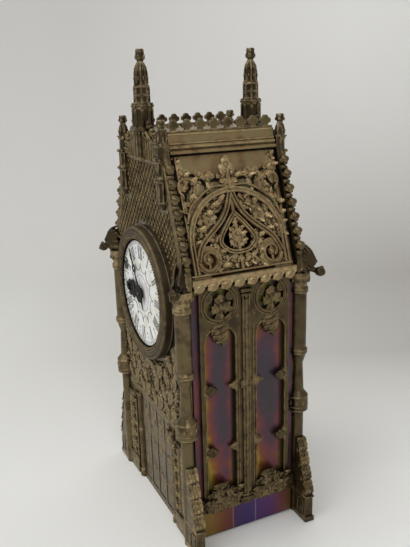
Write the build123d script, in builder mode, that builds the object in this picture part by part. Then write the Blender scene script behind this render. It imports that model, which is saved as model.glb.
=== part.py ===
"""Gothic cathedral table timepiece in cast bronze, with a back wound drum movement.

Millimetres. The origin is the middle of the footprint on the ground, +Z is up, the dial
looks towards -Y, and +X is to the right of someone who faces the dial.
"""
import math
import os

from build123d import *

os.makedirs("parts", exist_ok=True)

# Case: overall sizes
HEIGHT = 245.0
FACADE_FACE = 31.5
FACADE_T = 3.0
COLUMN_X = 44.6
COLUMN_R = 4.0
EAVE_Z = 142.0
ROOF_TOP_Z = 197.5
ROOF_TOP_X = 26.0
DIAL_Z = 124.3
FIT_GAP = 0.1
SEAT_GAP = 0.2

# Case: facade outline
GABLE_MARGIN = 2.2
SHOULDER_Z = 203.0
SPIRE_SEAT_X = 7.0
PORTAL_HALF_W = 22.0
PORTAL_SILL_Z = 3.5
PORTAL_HEAD_Z = 56.0
PORTAL_DEPTH = 1.6
PORTAL_PANELS = 4
PANEL_RIB = 1.6
COLONNETTE_R = 1.5
STRING_Z = 59.5
STRING_H = 2.4
STRING_PROUD = 1.4
STRING_HALF_X = 34.0
DRUM_HOLE_GAP = 0.2

# Case: leaves in relief under the dial, right half, as (X, Z, turn in degrees)
LEAF_L = 10.0
LEAF_W = 5.6
LEAF_PROUD = 1.7
LOBE_SHARE = 0.6
LOBE_SPREAD = 48.0
LEAVES = (
    (4.6, 66.8, 35.0),
    (13.4, 66.4, -40.0),
    (22.4, 66.8, 35.0),
    (31.2, 66.6, -40.0),
    (9.0, 75.6, -30.0),
    (18.4, 75.4, 40.0),
    (27.8, 75.8, -30.0),
    (4.8, 82.6, 55.0),
    (14.0, 84.4, -45.0),
    (23.6, 84.8, 30.0),
    (33.0, 85.0, -35.0),
    (28.0, 94.2, 40.0),
    (36.0, 94.6, -15.0),
    (36.0, 103.0, -28.0),
)

# Case: corner columns and stepped buttress feet
COLUMN_TOP_Z = 137.5
COLUMN_RING = 0.7
COLUMN_RING_H = 2.2
COLUMN_BLOCK_Z = 62.0
COLUMN_BLOCK_H = 8.0
COLUMN_WAIST_R = 2.5
COLUMN_WAIST_Z = 88.0
COLUMN_MID_RING_Z = 94.0
COLUMN_TOP_RING_Z = 127.0
CROCKETS = 7
CROCKET_R = 1.4
BUTTRESS_X = 57.0
BUTTRESS_T = 5.0
BUTTRESS_FOOT_Z = 16.0
BUTTRESS_STEPS = 4
BUTTRESS_TOP_Z = 46.0
PIER_HALF_X = 28.5
PIER_PROUD = 1.4
PIER_TOP_Z = 52.0

# Case: sides, roof and base
SHEET_T = 0.6
SHEET_FOOT_Z = 1.0
TRACERY_T = 2.0
TRACERY_FOOT_Z = 16.0
MULLION_W = 11.6
TRACERY_HALF = 24.6
TRACERY_TOP_BAND = 4.4
JAMB_W = 2.4
LIGHT_FOOT_Z = 24.0
LIGHT_HEAD_Z = 116.5
ROUNDEL_Z = 128.6
ROUNDEL_R = 7.6
CUSP_R = 2.3
CUSP_LOW_Z = 51.0
CUSP_HIGH_Z = 85.0
ROOF_T = 2.2
ROOF_STRIP = 2.4
ROOF_ARCH_R = 25.6
ROOF_ARCH_APEX = 0.70
EAVE_BAND = 1.6
EAVE_H = 2.4
TONGUES = 8
TONGUE_DROP = 3.6
TONGUE_T = 1.2
DECK_H = 9.5
DECK_WALL = 2.4
CREST_H = 6.0
CREST_T = 1.8
MERLONS = 8
BASE_T = 2.0
BASE_Z = 3.0

# Case: pinnacles, gargoyles and fasteners
SPIRE_R = 6.2
PINNACLE_R = 4.4
PINNACLE_X = 26.5
PINNACLE_FOOT_Z = 172.0
PINNACLE_TOP_Z = 213.3
GARGOYLE_REACH = 11.0
GARGOYLE_TURN = 40.0
GARGOYLE_HEAD_R = 2.4
TENON_R = 0.9
TENON_L = 5.0
SCREW_R = 0.9
SCREW_HEAD_R = 1.7
SCREW_HEAD_T = 1.2
SIDE_SCREW_LOW_Z = 20.0
BASE_SCREW_X = 30.0
DECK_SCREW_X = 17.0
LUG = 4.0
ROD_R = 1.5
ROD_X = 36.0
ROD_LOW_Z = 14.0
ROD_HIGH_Z = 142.0
NUT_R = 3.0
NUT_T = 2.2

# Rear door
DOOR_R = 29.0
DOOR_T = 1.6
DOOR_HOLE_R = 26.5
DOOR_PIN_R = 0.8
DOOR_KNUCKLE_R = 1.8
DOOR_KNUCKLE_L = 6.0
DOOR_AXIS_X = 32.0
DOOR_KNOB_R = 2.4
DOOR_KNOB_X = 23.0

# Drum, bezel and dial
DRUM_R = 32.8
DRUM_WALL = 1.0
DRUM_BACK_Y = 3.0
DRUM_BACK_T = 1.0
DRUM_FLANGE_R = 33.5
DRUM_FLANGE_T = 0.8
BEZEL_R = 35.0
BEZEL_BORE_R = 28.5
BEZEL_FRONT_Y = 37.4
BEZEL_LIP_T = 1.8
DIAL_T = 0.8
DIAL_HOLE_R = 2.4
DIAL_FOOT_R = 0.8
DIAL_FOOT_AT = 25.0
HAND_T = 0.4
HOUR_HAND_L = 18.0
MINUTE_HAND_L = 25.0
HOUR_HAND_DEG = 267.5
MINUTE_HAND_DEG = 330.0

# Movement: plates, arbors and running clearances
PLATE_T = 1.6
PLATE_GAP = 20.0
PLATE_EDGE_GAP = 0.3
MOTION_GAP = 4.5
PIVOT_R = 0.6
PIVOT_GAP = 0.05
CENTRE_ARBOR_R = 0.8
PIPE_WALL = 0.55
WHEEL_T = 0.8
PILLAR_R = 1.6
PILLAR_AT = 28.0
PILLAR_DEGS = (45.0, 105.0, 165.0, 275.0)
PILLAR_SCREW_R = 0.7
END_SHAKE = 0.15

# Movement: going train, as tooth counts and modules
BARREL_TEETH = 66
BARREL_MODULE = 0.4
CENTRE_LEAVES = 12
CENTRE_TEETH = 64
CENTRE_MODULE = 0.35
THIRD_LEAVES = 8
THIRD_TEETH = 64
THIRD_MODULE = 0.30
FOURTH_LEAVES = 8
FOURTH_TEETH = 72
FOURTH_MODULE = 0.26
ESCAPE_LEAVES = 8
ESCAPE_TEETH = 15
ESCAPE_R = 5.4
BARREL_DEG = 225.0
THIRD_DEG = 60.0
FOURTH_DEG = -20.0
ESCAPE_DEG = -100.0
LEVER_DEG = -75.0
BALANCE_DEG = -112.0
LEVER_AT = 7.0
BALANCE_AT = 9.0
BARREL_H = 11.0
BARREL_WALL = 0.8
BARREL_ARBOR_R = 1.6
PALLET_ARM = 4.4
PALLET_DEG = 62.0

# Movement: motion work, winding and balance
CANNON_LEAVES = 12
MINUTE_TEETH = 36
MOTION_MODULE = 0.5
MINUTE_LEAVES = 12
HOUR_TEETH = 48
MINUTE_WHEEL_DEG = 180.0
RATCHET_TEETH = 20
RATCHET_R = 6.0
RATCHET_T = 1.0
CLICK_AT = 9.5
CLICK_DEG = 120.0
CLICK_GAP = 0.15
KEY_SPAN = 17.0
KEY_T = 1.6
KNOB_R = 4.0
KNOB_T = 3.0
SPRING_T = 0.4
SPRING_PITCH = 0.94
SPRING_HALF_TURNS = 20
HAIR_T = 0.25
HAIR_PITCH = 0.8
HAIR_HALF_TURNS = 9
BALANCE_R = 7.8
BALANCE_RIM = 1.4
COCK_W = 5.0

# Places that follow from the sizes above
FACADE_BACK = FACADE_FACE - FACADE_T
COLUMN_Y = FACADE_FACE + COLUMN_R / 8
PANEL_HALF = FACADE_BACK - 5 * FIT_GAP
SHEET_X = COLUMN_X
TRACERY_X = SHEET_X + SHEET_T
ROOF_EAVE_X = TRACERY_X + TRACERY_T - 0.8
DRUM_BORE_R = DRUM_R - DRUM_WALL
DRUM_FRONT_Y = BEZEL_FRONT_Y - BEZEL_LIP_T
DIAL_BACK_Y = DRUM_FRONT_Y - DIAL_T
FRONT_PLATE_FACE = DIAL_BACK_Y - MOTION_GAP
FRONT_PLATE_BACK = FRONT_PLATE_FACE - PLATE_T
BACK_PLATE_FACE = FRONT_PLATE_BACK - PLATE_GAP
BACK_PLATE_BACK = BACK_PLATE_FACE - PLATE_T
PLATE_R = DRUM_BORE_R - PLATE_EDGE_GAP
DECK_TOP_Z = ROOF_TOP_Z + DECK_H
SPIRE_SEAT_Z = DECK_TOP_Z + SEAT_GAP
WALL_HEAD_Z = EAVE_Z - EAVE_H
TONGUE_X = TRACERY_X + TRACERY_T + SEAT_GAP
SIDE_SCREW_ZS = (SIDE_SCREW_LOW_Z, WALL_HEAD_Z - SEAT_GAP - TRACERY_TOP_BAND / 2)
SIDE_SCREW_Y = FACADE_BACK - LUG / 2
DECK_LUG_Z = DECK_TOP_Z - DECK_WALL
DOOR_AXIS_Y = FACADE_FACE + DOOR_T + DOOR_KNUCKLE_R / 4


def polar(origin, distance, degrees):
    """Point at a distance and an angle from another, seen from the front."""
    turn = math.radians(degrees)
    return (origin[0] + distance * math.cos(turn), origin[1] + distance * math.sin(turn))


CENTRE_AT = (0.0, DIAL_Z)
BARREL_AT = polar(CENTRE_AT, BARREL_MODULE * (BARREL_TEETH + CENTRE_LEAVES) / 2, BARREL_DEG)
THIRD_AT = polar(CENTRE_AT, CENTRE_MODULE * (CENTRE_TEETH + THIRD_LEAVES) / 2, THIRD_DEG)
FOURTH_AT = polar(THIRD_AT, THIRD_MODULE * (THIRD_TEETH + FOURTH_LEAVES) / 2, FOURTH_DEG)
ESCAPE_AT = polar(FOURTH_AT, FOURTH_MODULE * (FOURTH_TEETH + ESCAPE_LEAVES) / 2, ESCAPE_DEG)
LEVER_PIVOT = polar(ESCAPE_AT, LEVER_AT, LEVER_DEG)
BALANCE_PIVOT = polar(LEVER_PIVOT, BALANCE_AT, BALANCE_DEG)
MOTION_DISTANCE = MOTION_MODULE * (CANNON_LEAVES + MINUTE_TEETH) / 2
HOUR_MODULE = 2 * MOTION_DISTANCE / (MINUTE_LEAVES + HOUR_TEETH)
MINUTE_AT = polar(CENTRE_AT, MOTION_DISTANCE, MINUTE_WHEEL_DEG)
CLICK_PIVOT = polar(BARREL_AT, CLICK_AT, CLICK_DEG)


def save(builder, name):
    """Label a finished piece and write it under its own name."""
    builder.part.label = name
    export_step(builder.part, f"parts/{name}.step")


def facing(y, x=0.0, z=0.0):
    """Upright plane that looks to the front: own x is X, own y is Z, extrudes towards -Y."""
    return Plane(origin=(x, y, z), x_dir=(1, 0, 0), z_dir=(0, -1, 0))


def facing_at(y, point):
    """The same plane with its origin at a point (X, Z)."""
    return facing(y, point[0], point[1])


def sideways(side, x):
    """Upright plane that looks out of one flank: own y is Z, extrudes outwards."""
    return Plane(origin=(side * x, 0, 0), x_dir=(0, side, 0), z_dir=(side, 0, 0))


def roof_plane(side, lift=0.0):
    """Plane of a roof panel's outer face: own y climbs the slope from the eave."""
    run = ROOF_EAVE_X - ROOF_TOP_X
    rise = ROOF_TOP_Z - EAVE_Z
    length = math.hypot(run, rise)
    normal = (side * rise / length, 0, run / length)
    origin = (side * ROOF_EAVE_X + normal[0] * lift, 0, EAVE_Z + normal[2] * lift)
    return Plane(origin=origin, x_dir=(0, side, 0), z_dir=normal)


ROOF_SLOPE = math.hypot(ROOF_EAVE_X - ROOF_TOP_X, ROOF_TOP_Z - EAVE_Z)


def turned(x, y, profile):
    """Add a turned column to the open part, from (radius, height) points up its side."""
    plane = Plane(origin=(x, y, 0), x_dir=(1, 0, 0), z_dir=(0, -1, 0))
    with BuildSketch(plane) as half:
        with BuildLine():
            Polyline((0, profile[0][1]), *profile, (0, profile[-1][1]), close=True)
        make_face()
    revolve(half.sketch, axis=Axis((x, y, 0), (0, 0, 1)))


def stacked(x, y, stages, sides=8):
    """Add a pile of tapered prisms to the open part, from (foot, top, foot radius, top radius)."""
    for foot, top, foot_r, top_r in stages:
        with BuildSketch(Plane((x, y, foot))) as lower:
            RegularPolygon(foot_r, sides, rotation=180 / sides)
        with BuildSketch(Plane((x, y, top))) as upper:
            RegularPolygon(top_r, sides, rotation=180 / sides)
        loft([lower.sketch.face(), upper.sketch.face()])


# Case castings

def gable_points():
    """Facade outline, right half from the ground to the middle of the top."""
    eave_x = COLUMN_X + COLUMN_R - FIT_GAP
    top_x = ROOF_TOP_X + GABLE_MARGIN
    return [
        (COLUMN_X, 0),
        (COLUMN_X, COLUMN_TOP_Z - 2 * COLUMN_R),
        (eave_x, COLUMN_TOP_Z),
        (eave_x, EAVE_Z + GABLE_MARGIN),
        (top_x, ROOF_TOP_Z),
        (top_x, SHOULDER_Z),
        (SPIRE_SEAT_X + 2 * COLUMN_R, SHOULDER_Z),
        (SPIRE_SEAT_X, SPIRE_SEAT_Z),
    ]


def column_profile():
    """Corner column: pier, waisted shaft with rings, and capital, as (radius, height)."""
    ring = COLUMN_R + COLUMN_RING
    block = ring + COLUMN_RING
    low = COLUMN_R * 0.8
    slope = COLUMN_R / 4
    block_top = COLUMN_BLOCK_Z + COLUMN_BLOCK_H
    return [
        (low, 0),
        (low, COLUMN_BLOCK_Z - 2 * slope),
        (block, COLUMN_BLOCK_Z),
        (block, block_top),
        (low, block_top + 3 * slope),
        (COLUMN_WAIST_R, COLUMN_WAIST_Z),
        (COLUMN_R, COLUMN_MID_RING_Z - slope),
        (ring, COLUMN_MID_RING_Z),
        (ring, COLUMN_MID_RING_Z + COLUMN_RING_H),
        (COLUMN_R, COLUMN_MID_RING_Z + COLUMN_RING_H + slope),
        (COLUMN_R, COLUMN_TOP_RING_Z - slope),
        (ring, COLUMN_TOP_RING_Z),
        (ring, COLUMN_TOP_RING_Z + COLUMN_RING_H),
        (COLUMN_R, COLUMN_TOP_RING_Z + COLUMN_RING_H + slope),
        (COLUMN_R, COLUMN_TOP_Z - 2 * COLUMN_RING_H),
        (block, COLUMN_TOP_Z - COLUMN_RING_H),
        (block, COLUMN_TOP_Z),
    ]


def rake_points():
    """Seats of the crockets up a gable slope, right half, as (X, Z)."""
    foot = (COLUMN_X + COLUMN_R - FIT_GAP, EAVE_Z + GABLE_MARGIN)
    head = (ROOF_TOP_X + GABLE_MARGIN, ROOF_TOP_Z)
    shares = [(count + 1) / (CROCKETS + 1) for count in range(CROCKETS)]
    return [(foot[0] + (head[0] - foot[0]) * share, foot[1] + (head[1] - foot[1]) * share) for share in shares]


def leaf_lobes():
    """Middle and side lobes of the leaves, right half, as (X, Z, half width, half length, turn)."""
    middles = []
    sides = []
    for x, z, turn in LEAVES:
        middles.append((x, z, LEAF_W / 2, LEAF_L / 2, turn))
        foot = polar((x, z), -LEAF_L / 2, turn + 90)
        for spread in (-LOBE_SPREAD, LOBE_SPREAD):
            half = LEAF_L * LOBE_SHARE / 2
            at = polar(foot, half, turn + spread + 90)
            sides.append((at[0], at[1], half * LEAF_W / LEAF_L, half, turn + spread))
    return middles, sides


def buttress_points():
    """Stepped outline of a buttress beside a column, as (reach from the column, height)."""
    reach = BUTTRESS_X - COLUMN_X
    step_h = (BUTTRESS_TOP_Z - BUTTRESS_FOOT_Z) / BUTTRESS_STEPS
    points = [(0, 0), (reach, 0), (reach, BUTTRESS_FOOT_Z)]
    for step in range(BUTTRESS_STEPS):
        out = reach - (reach - COLUMN_R) * step / BUTTRESS_STEPS
        inner = reach - (reach - COLUMN_R) * (step + 1) / BUTTRESS_STEPS
        foot = BUTTRESS_FOOT_Z + step * step_h
        points.append((out, foot + step_h * 0.25))
        points.append((inner, foot + step_h))
    points.append((0, BUTTRESS_TOP_Z))
    return points


def facade(side):
    """Cast end wall with its columns, feet, portal, and inner lugs; side -1 is the front."""
    outer = side * FACADE_FACE
    inner = side * FACADE_BACK
    high_y = max(outer, inner)
    hole_r = DRUM_R + DRUM_HOLE_GAP if side < 0 else DOOR_HOLE_R
    right = gable_points()
    outline = right + [(-x, z) for x, z in reversed(right)]
    with BuildPart() as wall:
        with BuildSketch(facing(high_y)):
            Polygon(*outline, align=None)
        extrude(amount=FACADE_T)
        for flank in (-1, 1):
            turned(flank * COLUMN_X, side * COLUMN_Y, column_profile())
            with BuildSketch(facing(side * COLUMN_Y + BUTTRESS_T / 2)):
                Polygon(*[(flank * (COLUMN_X + x), z) for x, z in buttress_points()], align=None)
            extrude(amount=BUTTRESS_T)
            for x, z in rake_points():
                with Locations((flank * x, side * (FACADE_FACE - FACADE_T / 2), z)):
                    Sphere(CROCKET_R)
            if side < 0:
                with BuildSketch(facing(outer)):
                    Polygon(
                        (flank * PIER_HALF_X, 0),
                        (flank * COLUMN_X, 0),
                        (flank * COLUMN_X, PIER_TOP_Z),
                        (flank * (PIER_HALF_X + PIER_PROUD), PIER_TOP_Z),
                        (flank * PIER_HALF_X, PIER_TOP_Z - PIER_PROUD),
                        align=None,
                    )
                extrude(amount=PIER_PROUD)
        # the sheets and tracery pass between the walls, clear of the columns
        for flank in (-1, 1):
            with BuildSketch(sideways(flank, SHEET_X - FIT_GAP)):
                Rectangle(2 * PANEL_HALF + 2 * FIT_GAP, 2 * EAVE_Z)
            extrude(amount=TRACERY_T + SHEET_T + 2 * COLUMN_R, mode=Mode.SUBTRACT)
        # portal: a sunk door of upright panels between colonnettes, under a string course
        portal_h = PORTAL_HEAD_Z - PORTAL_SILL_Z
        with BuildSketch(facing(max(outer, outer - side * PORTAL_DEPTH))):
            with Locations((0, PORTAL_SILL_Z + portal_h / 2)):
                Rectangle(2 * PORTAL_HALF_W, portal_h)
                with GridLocations(2 * PORTAL_HALF_W / PORTAL_PANELS, 1, PORTAL_PANELS - 1, 1):
                    Rectangle(PANEL_RIB, portal_h, mode=Mode.SUBTRACT)
        extrude(amount=PORTAL_DEPTH, mode=Mode.SUBTRACT)
        with BuildSketch(facing(max(outer, outer + side * STRING_PROUD))):
            with Locations((0, STRING_Z + STRING_H / 2)):
                Rectangle(2 * STRING_HALF_X, STRING_H)
        extrude(amount=STRING_PROUD)
        for flank in (-1, 1):
            with BuildSketch(Plane((flank * (PORTAL_HALF_W + 2 * COLONNETTE_R), outer, 0))):
                Circle(COLONNETTE_R)
            extrude(amount=STRING_Z)
        # leaves in two levels of relief between the string course and the dial
        middles, sides = leaf_lobes()
        for lobes, proud in ((sides, LEAF_PROUD * LOBE_SHARE), (middles, LEAF_PROUD)):
            with BuildSketch(facing(max(outer, outer + side * proud))):
                for flank in (-1, 1):
                    for x, z, half_w, half_l, turn in lobes:
                        with Locations((flank * x, z)):
                            Ellipse(half_w, half_l, rotation=flank * turn)
            extrude(amount=proud)
        # hole for the drum at the front, for the door at the rear
        with BuildSketch(facing(high_y, z=DIAL_Z)):
            Circle(hole_r)
        extrude(amount=FACADE_T, mode=Mode.SUBTRACT)
        # lugs on the inner face for the side screws, the base and the roof deck
        for flank in (-1, 1):
            for z in SIDE_SCREW_ZS:
                with Locations((flank * (SHEET_X - FIT_GAP - LUG / 2), side * (FACADE_BACK - LUG / 2), z)):
                    Box(LUG, LUG, LUG)
            with Locations((flank * BASE_SCREW_X, side * (FACADE_BACK - LUG / 2), BASE_Z + BASE_T + LUG)):
                Box(LUG, LUG, 2 * LUG)
            with Locations((flank * DECK_SCREW_X, side * (FACADE_BACK - LUG / 2), DECK_LUG_Z - LUG / 2)):
                Box(LUG, LUG, LUG)
            # rod holes: blind at the front, through at the rear
            for z in (ROD_LOW_Z, ROD_HIGH_Z):
                depth = FACADE_T if side > 0 else FACADE_T - PORTAL_DEPTH
                with BuildSketch(facing(max(inner, inner + side * depth), flank * ROD_X, z)):
                    Circle(ROD_R + FIT_GAP)
                extrude(amount=depth, mode=Mode.SUBTRACT)
        for flank in (-1, 1):
            for z in SIDE_SCREW_ZS:
                with BuildSketch(sideways(flank, SHEET_X - 2 * LUG)):
                    with Locations((flank * side * (FACADE_BACK - LUG / 2), z)):
                        Circle(SCREW_R + FIT_GAP)
                extrude(amount=2 * LUG, mode=Mode.SUBTRACT)
            with BuildSketch(Plane((flank * BASE_SCREW_X, side * (FACADE_BACK - LUG / 2), BASE_Z + BASE_T))):
                Circle(SCREW_R + FIT_GAP)
            extrude(amount=LUG + FIT_GAP, mode=Mode.SUBTRACT)
            with BuildSketch(Plane((flank * DECK_SCREW_X, side * (FACADE_BACK - LUG / 2), DECK_LUG_Z))):
                Circle(SCREW_R + FIT_GAP)
            extrude(amount=-(LUG - FIT_GAP), mode=Mode.SUBTRACT)
        # socket for the spire's tenon
        with BuildSketch(Plane((0, side * (FACADE_FACE - FACADE_T / 2), SPIRE_SEAT_Z))):
            Circle(TENON_R + PIVOT_GAP)
        extrude(amount=-(TENON_L + FIT_GAP), mode=Mode.SUBTRACT)
        # hinge lugs for the door stand on the rear wall
        if side > 0:
            for z in (DIAL_Z - DOOR_KNUCKLE_L, DIAL_Z + DOOR_KNUCKLE_L):
                with BuildSketch(Plane((-DOOR_AXIS_X, DOOR_AXIS_Y, z - DOOR_KNUCKLE_L / 2 + SEAT_GAP))):
                    Circle(DOOR_KNUCKLE_R)
                    with Locations((0, -(DOOR_AXIS_Y - FACADE_FACE) / 2)):
                        Rectangle(2 * DOOR_KNUCKLE_R, DOOR_AXIS_Y - FACADE_FACE)
                extrude(amount=DOOR_KNUCKLE_L - 2 * SEAT_GAP)
            with BuildSketch(Plane((-DOOR_AXIS_X, DOOR_AXIS_Y, DIAL_Z - 2 * DOOR_KNUCKLE_L))):
                Circle(DOOR_PIN_R + PIVOT_GAP)
            extrude(amount=4 * DOOR_KNUCKLE_L, mode=Mode.SUBTRACT)
    return wall


front_facade = facade(-1)
save(front_facade, "front_facade")
rear_facade = facade(1)
save(rear_facade, "rear_facade")

with BuildPart() as base_plate:
    with BuildSketch(Plane.XY.offset(BASE_Z)):
        Rectangle(2 * (SHEET_X - 5 * FIT_GAP), 2 * PANEL_HALF)
        with GridLocations(2 * BASE_SCREW_X, 2 * SIDE_SCREW_Y, 2, 2):
            Circle(SCREW_R + FIT_GAP, mode=Mode.SUBTRACT)
    extrude(amount=BASE_T)
save(base_plate, "base_plate")

with BuildPart() as tie_rods:
    for x in (-ROD_X, ROD_X):
        for z in (ROD_LOW_Z, ROD_HIGH_Z):
            with BuildSketch(facing(FACADE_FACE + NUT_T + FIT_GAP, x, z)):
                Circle(ROD_R)
            extrude(amount=2 * FACADE_FACE + NUT_T - PORTAL_DEPTH)
save(tie_rods, "tie_rods")

with BuildPart() as tie_nuts:
    for x in (-ROD_X, ROD_X):
        for z in (ROD_LOW_Z, ROD_HIGH_Z):
            with BuildSketch(facing(FACADE_FACE + NUT_T, x, z)):
                RegularPolygon(NUT_R, 6)
                Circle(ROD_R + PIVOT_GAP, mode=Mode.SUBTRACT)
            extrude(amount=NUT_T)
save(tie_nuts, "tie_nuts")


# Side walls: a tinted sheet behind a cast tracery frame

def tinted_sheet(side):
    """Plain sheet that backs the tracery, with its screw holes."""
    height = WALL_HEAD_Z - SEAT_GAP - SHEET_FOOT_Z
    with BuildPart() as sheet:
        with BuildSketch(sideways(side, SHEET_X)):
            with Locations((0, SHEET_FOOT_Z + height / 2)):
                Rectangle(2 * PANEL_HALF, height)
            for y in (-SIDE_SCREW_Y, SIDE_SCREW_Y):
                for z in SIDE_SCREW_ZS:
                    with Locations((y, z)):
                        Circle(SCREW_R + FIT_GAP, mode=Mode.SUBTRACT)
        extrude(amount=SHEET_T)
    return sheet


def tracery(side):
    """Two light tracery frame with roundels, cusped jambs and a moulded mullion."""
    height = WALL_HEAD_Z - SEAT_GAP - TRACERY_FOOT_Z
    light_w = TRACERY_HALF - JAMB_W - MULLION_W / 2
    light_y = MULLION_W / 2 + light_w / 2
    light_h = LIGHT_HEAD_Z - LIGHT_FOOT_Z
    with BuildPart() as frame:
        with BuildSketch(sideways(side, TRACERY_X)):
            with Locations((0, TRACERY_FOOT_Z + height / 2)):
                Rectangle(2 * TRACERY_HALF, height)
            # bands over the full width at the foot and under the eave
            with Locations((0, (TRACERY_FOOT_Z + LIGHT_FOOT_Z) / 2)):
                Rectangle(2 * PANEL_HALF, LIGHT_FOOT_Z - TRACERY_FOOT_Z)
            with Locations((0, TRACERY_FOOT_Z + height - TRACERY_TOP_BAND / 2)):
                Rectangle(2 * PANEL_HALF, TRACERY_TOP_BAND)
            for y in (-light_y, light_y):
                with Locations((y, LIGHT_FOOT_Z + light_h / 2)):
                    RectangleRounded(light_w, light_h, light_w * 0.45, mode=Mode.SUBTRACT)
                with Locations((y, LIGHT_FOOT_Z + light_h / 4)):
                    Rectangle(light_w, light_h / 2, mode=Mode.SUBTRACT)
                with Locations((y, ROUNDEL_Z)):
                    Circle(ROUNDEL_R, mode=Mode.SUBTRACT)
                # cusps: a pair on the jambs at two heights, three in the roundel, one in the head
                for z in (CUSP_LOW_Z, CUSP_HIGH_Z):
                    with Locations((y - light_w / 2, z), (y + light_w / 2, z)):
                        Circle(CUSP_R)
                with Locations((y, ROUNDEL_Z)):
                    with PolarLocations(ROUNDEL_R - CUSP_R / 3, 3, 30):
                        Circle(CUSP_R)
                with Locations((y, LIGHT_HEAD_Z - CUSP_R)):
                    Circle(2 * CUSP_R)
                with Locations((y, LIGHT_FOOT_Z)):
                    Ellipse(light_w * 0.45, 2 * CUSP_R)
            # the plain ground outside the frame stays as it was
            with Locations((0, TRACERY_FOOT_Z / 2)):
                Rectangle(2 * PANEL_HALF, TRACERY_FOOT_Z, mode=Mode.SUBTRACT)
        extrude(amount=TRACERY_T)
        # clustered mullion with a ring at half height
        with BuildSketch(sideways(side, TRACERY_X + TRACERY_T)):
            with Locations((0, (TRACERY_FOOT_Z + ROUNDEL_Z) / 2)):
                Rectangle(MULLION_W * 0.36, ROUNDEL_Z - TRACERY_FOOT_Z)
            with Locations((0, CUSP_HIGH_Z)):
                Rectangle(MULLION_W * 0.6, CUSP_R * 1.6)
        extrude(amount=TRACERY_T * 0.35)
        # blind holes for the side screws
        with BuildSketch(sideways(side, TRACERY_X)):
            for y in (-SIDE_SCREW_Y, SIDE_SCREW_Y):
                for z in SIDE_SCREW_ZS:
                    with Locations((y, z)):
                        Circle(SCREW_R + FIT_GAP)
        extrude(amount=TRACERY_T * 0.75, mode=Mode.SUBTRACT)
    return frame


for side, word in ((-1, "left"), (1, "right")):
    save(tinted_sheet(side), f"{word}_sheet")
    save(tracery(side), f"{word}_tracery")

# Roof: two pierced slopes, a moulded deck and two rows of cresting

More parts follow.
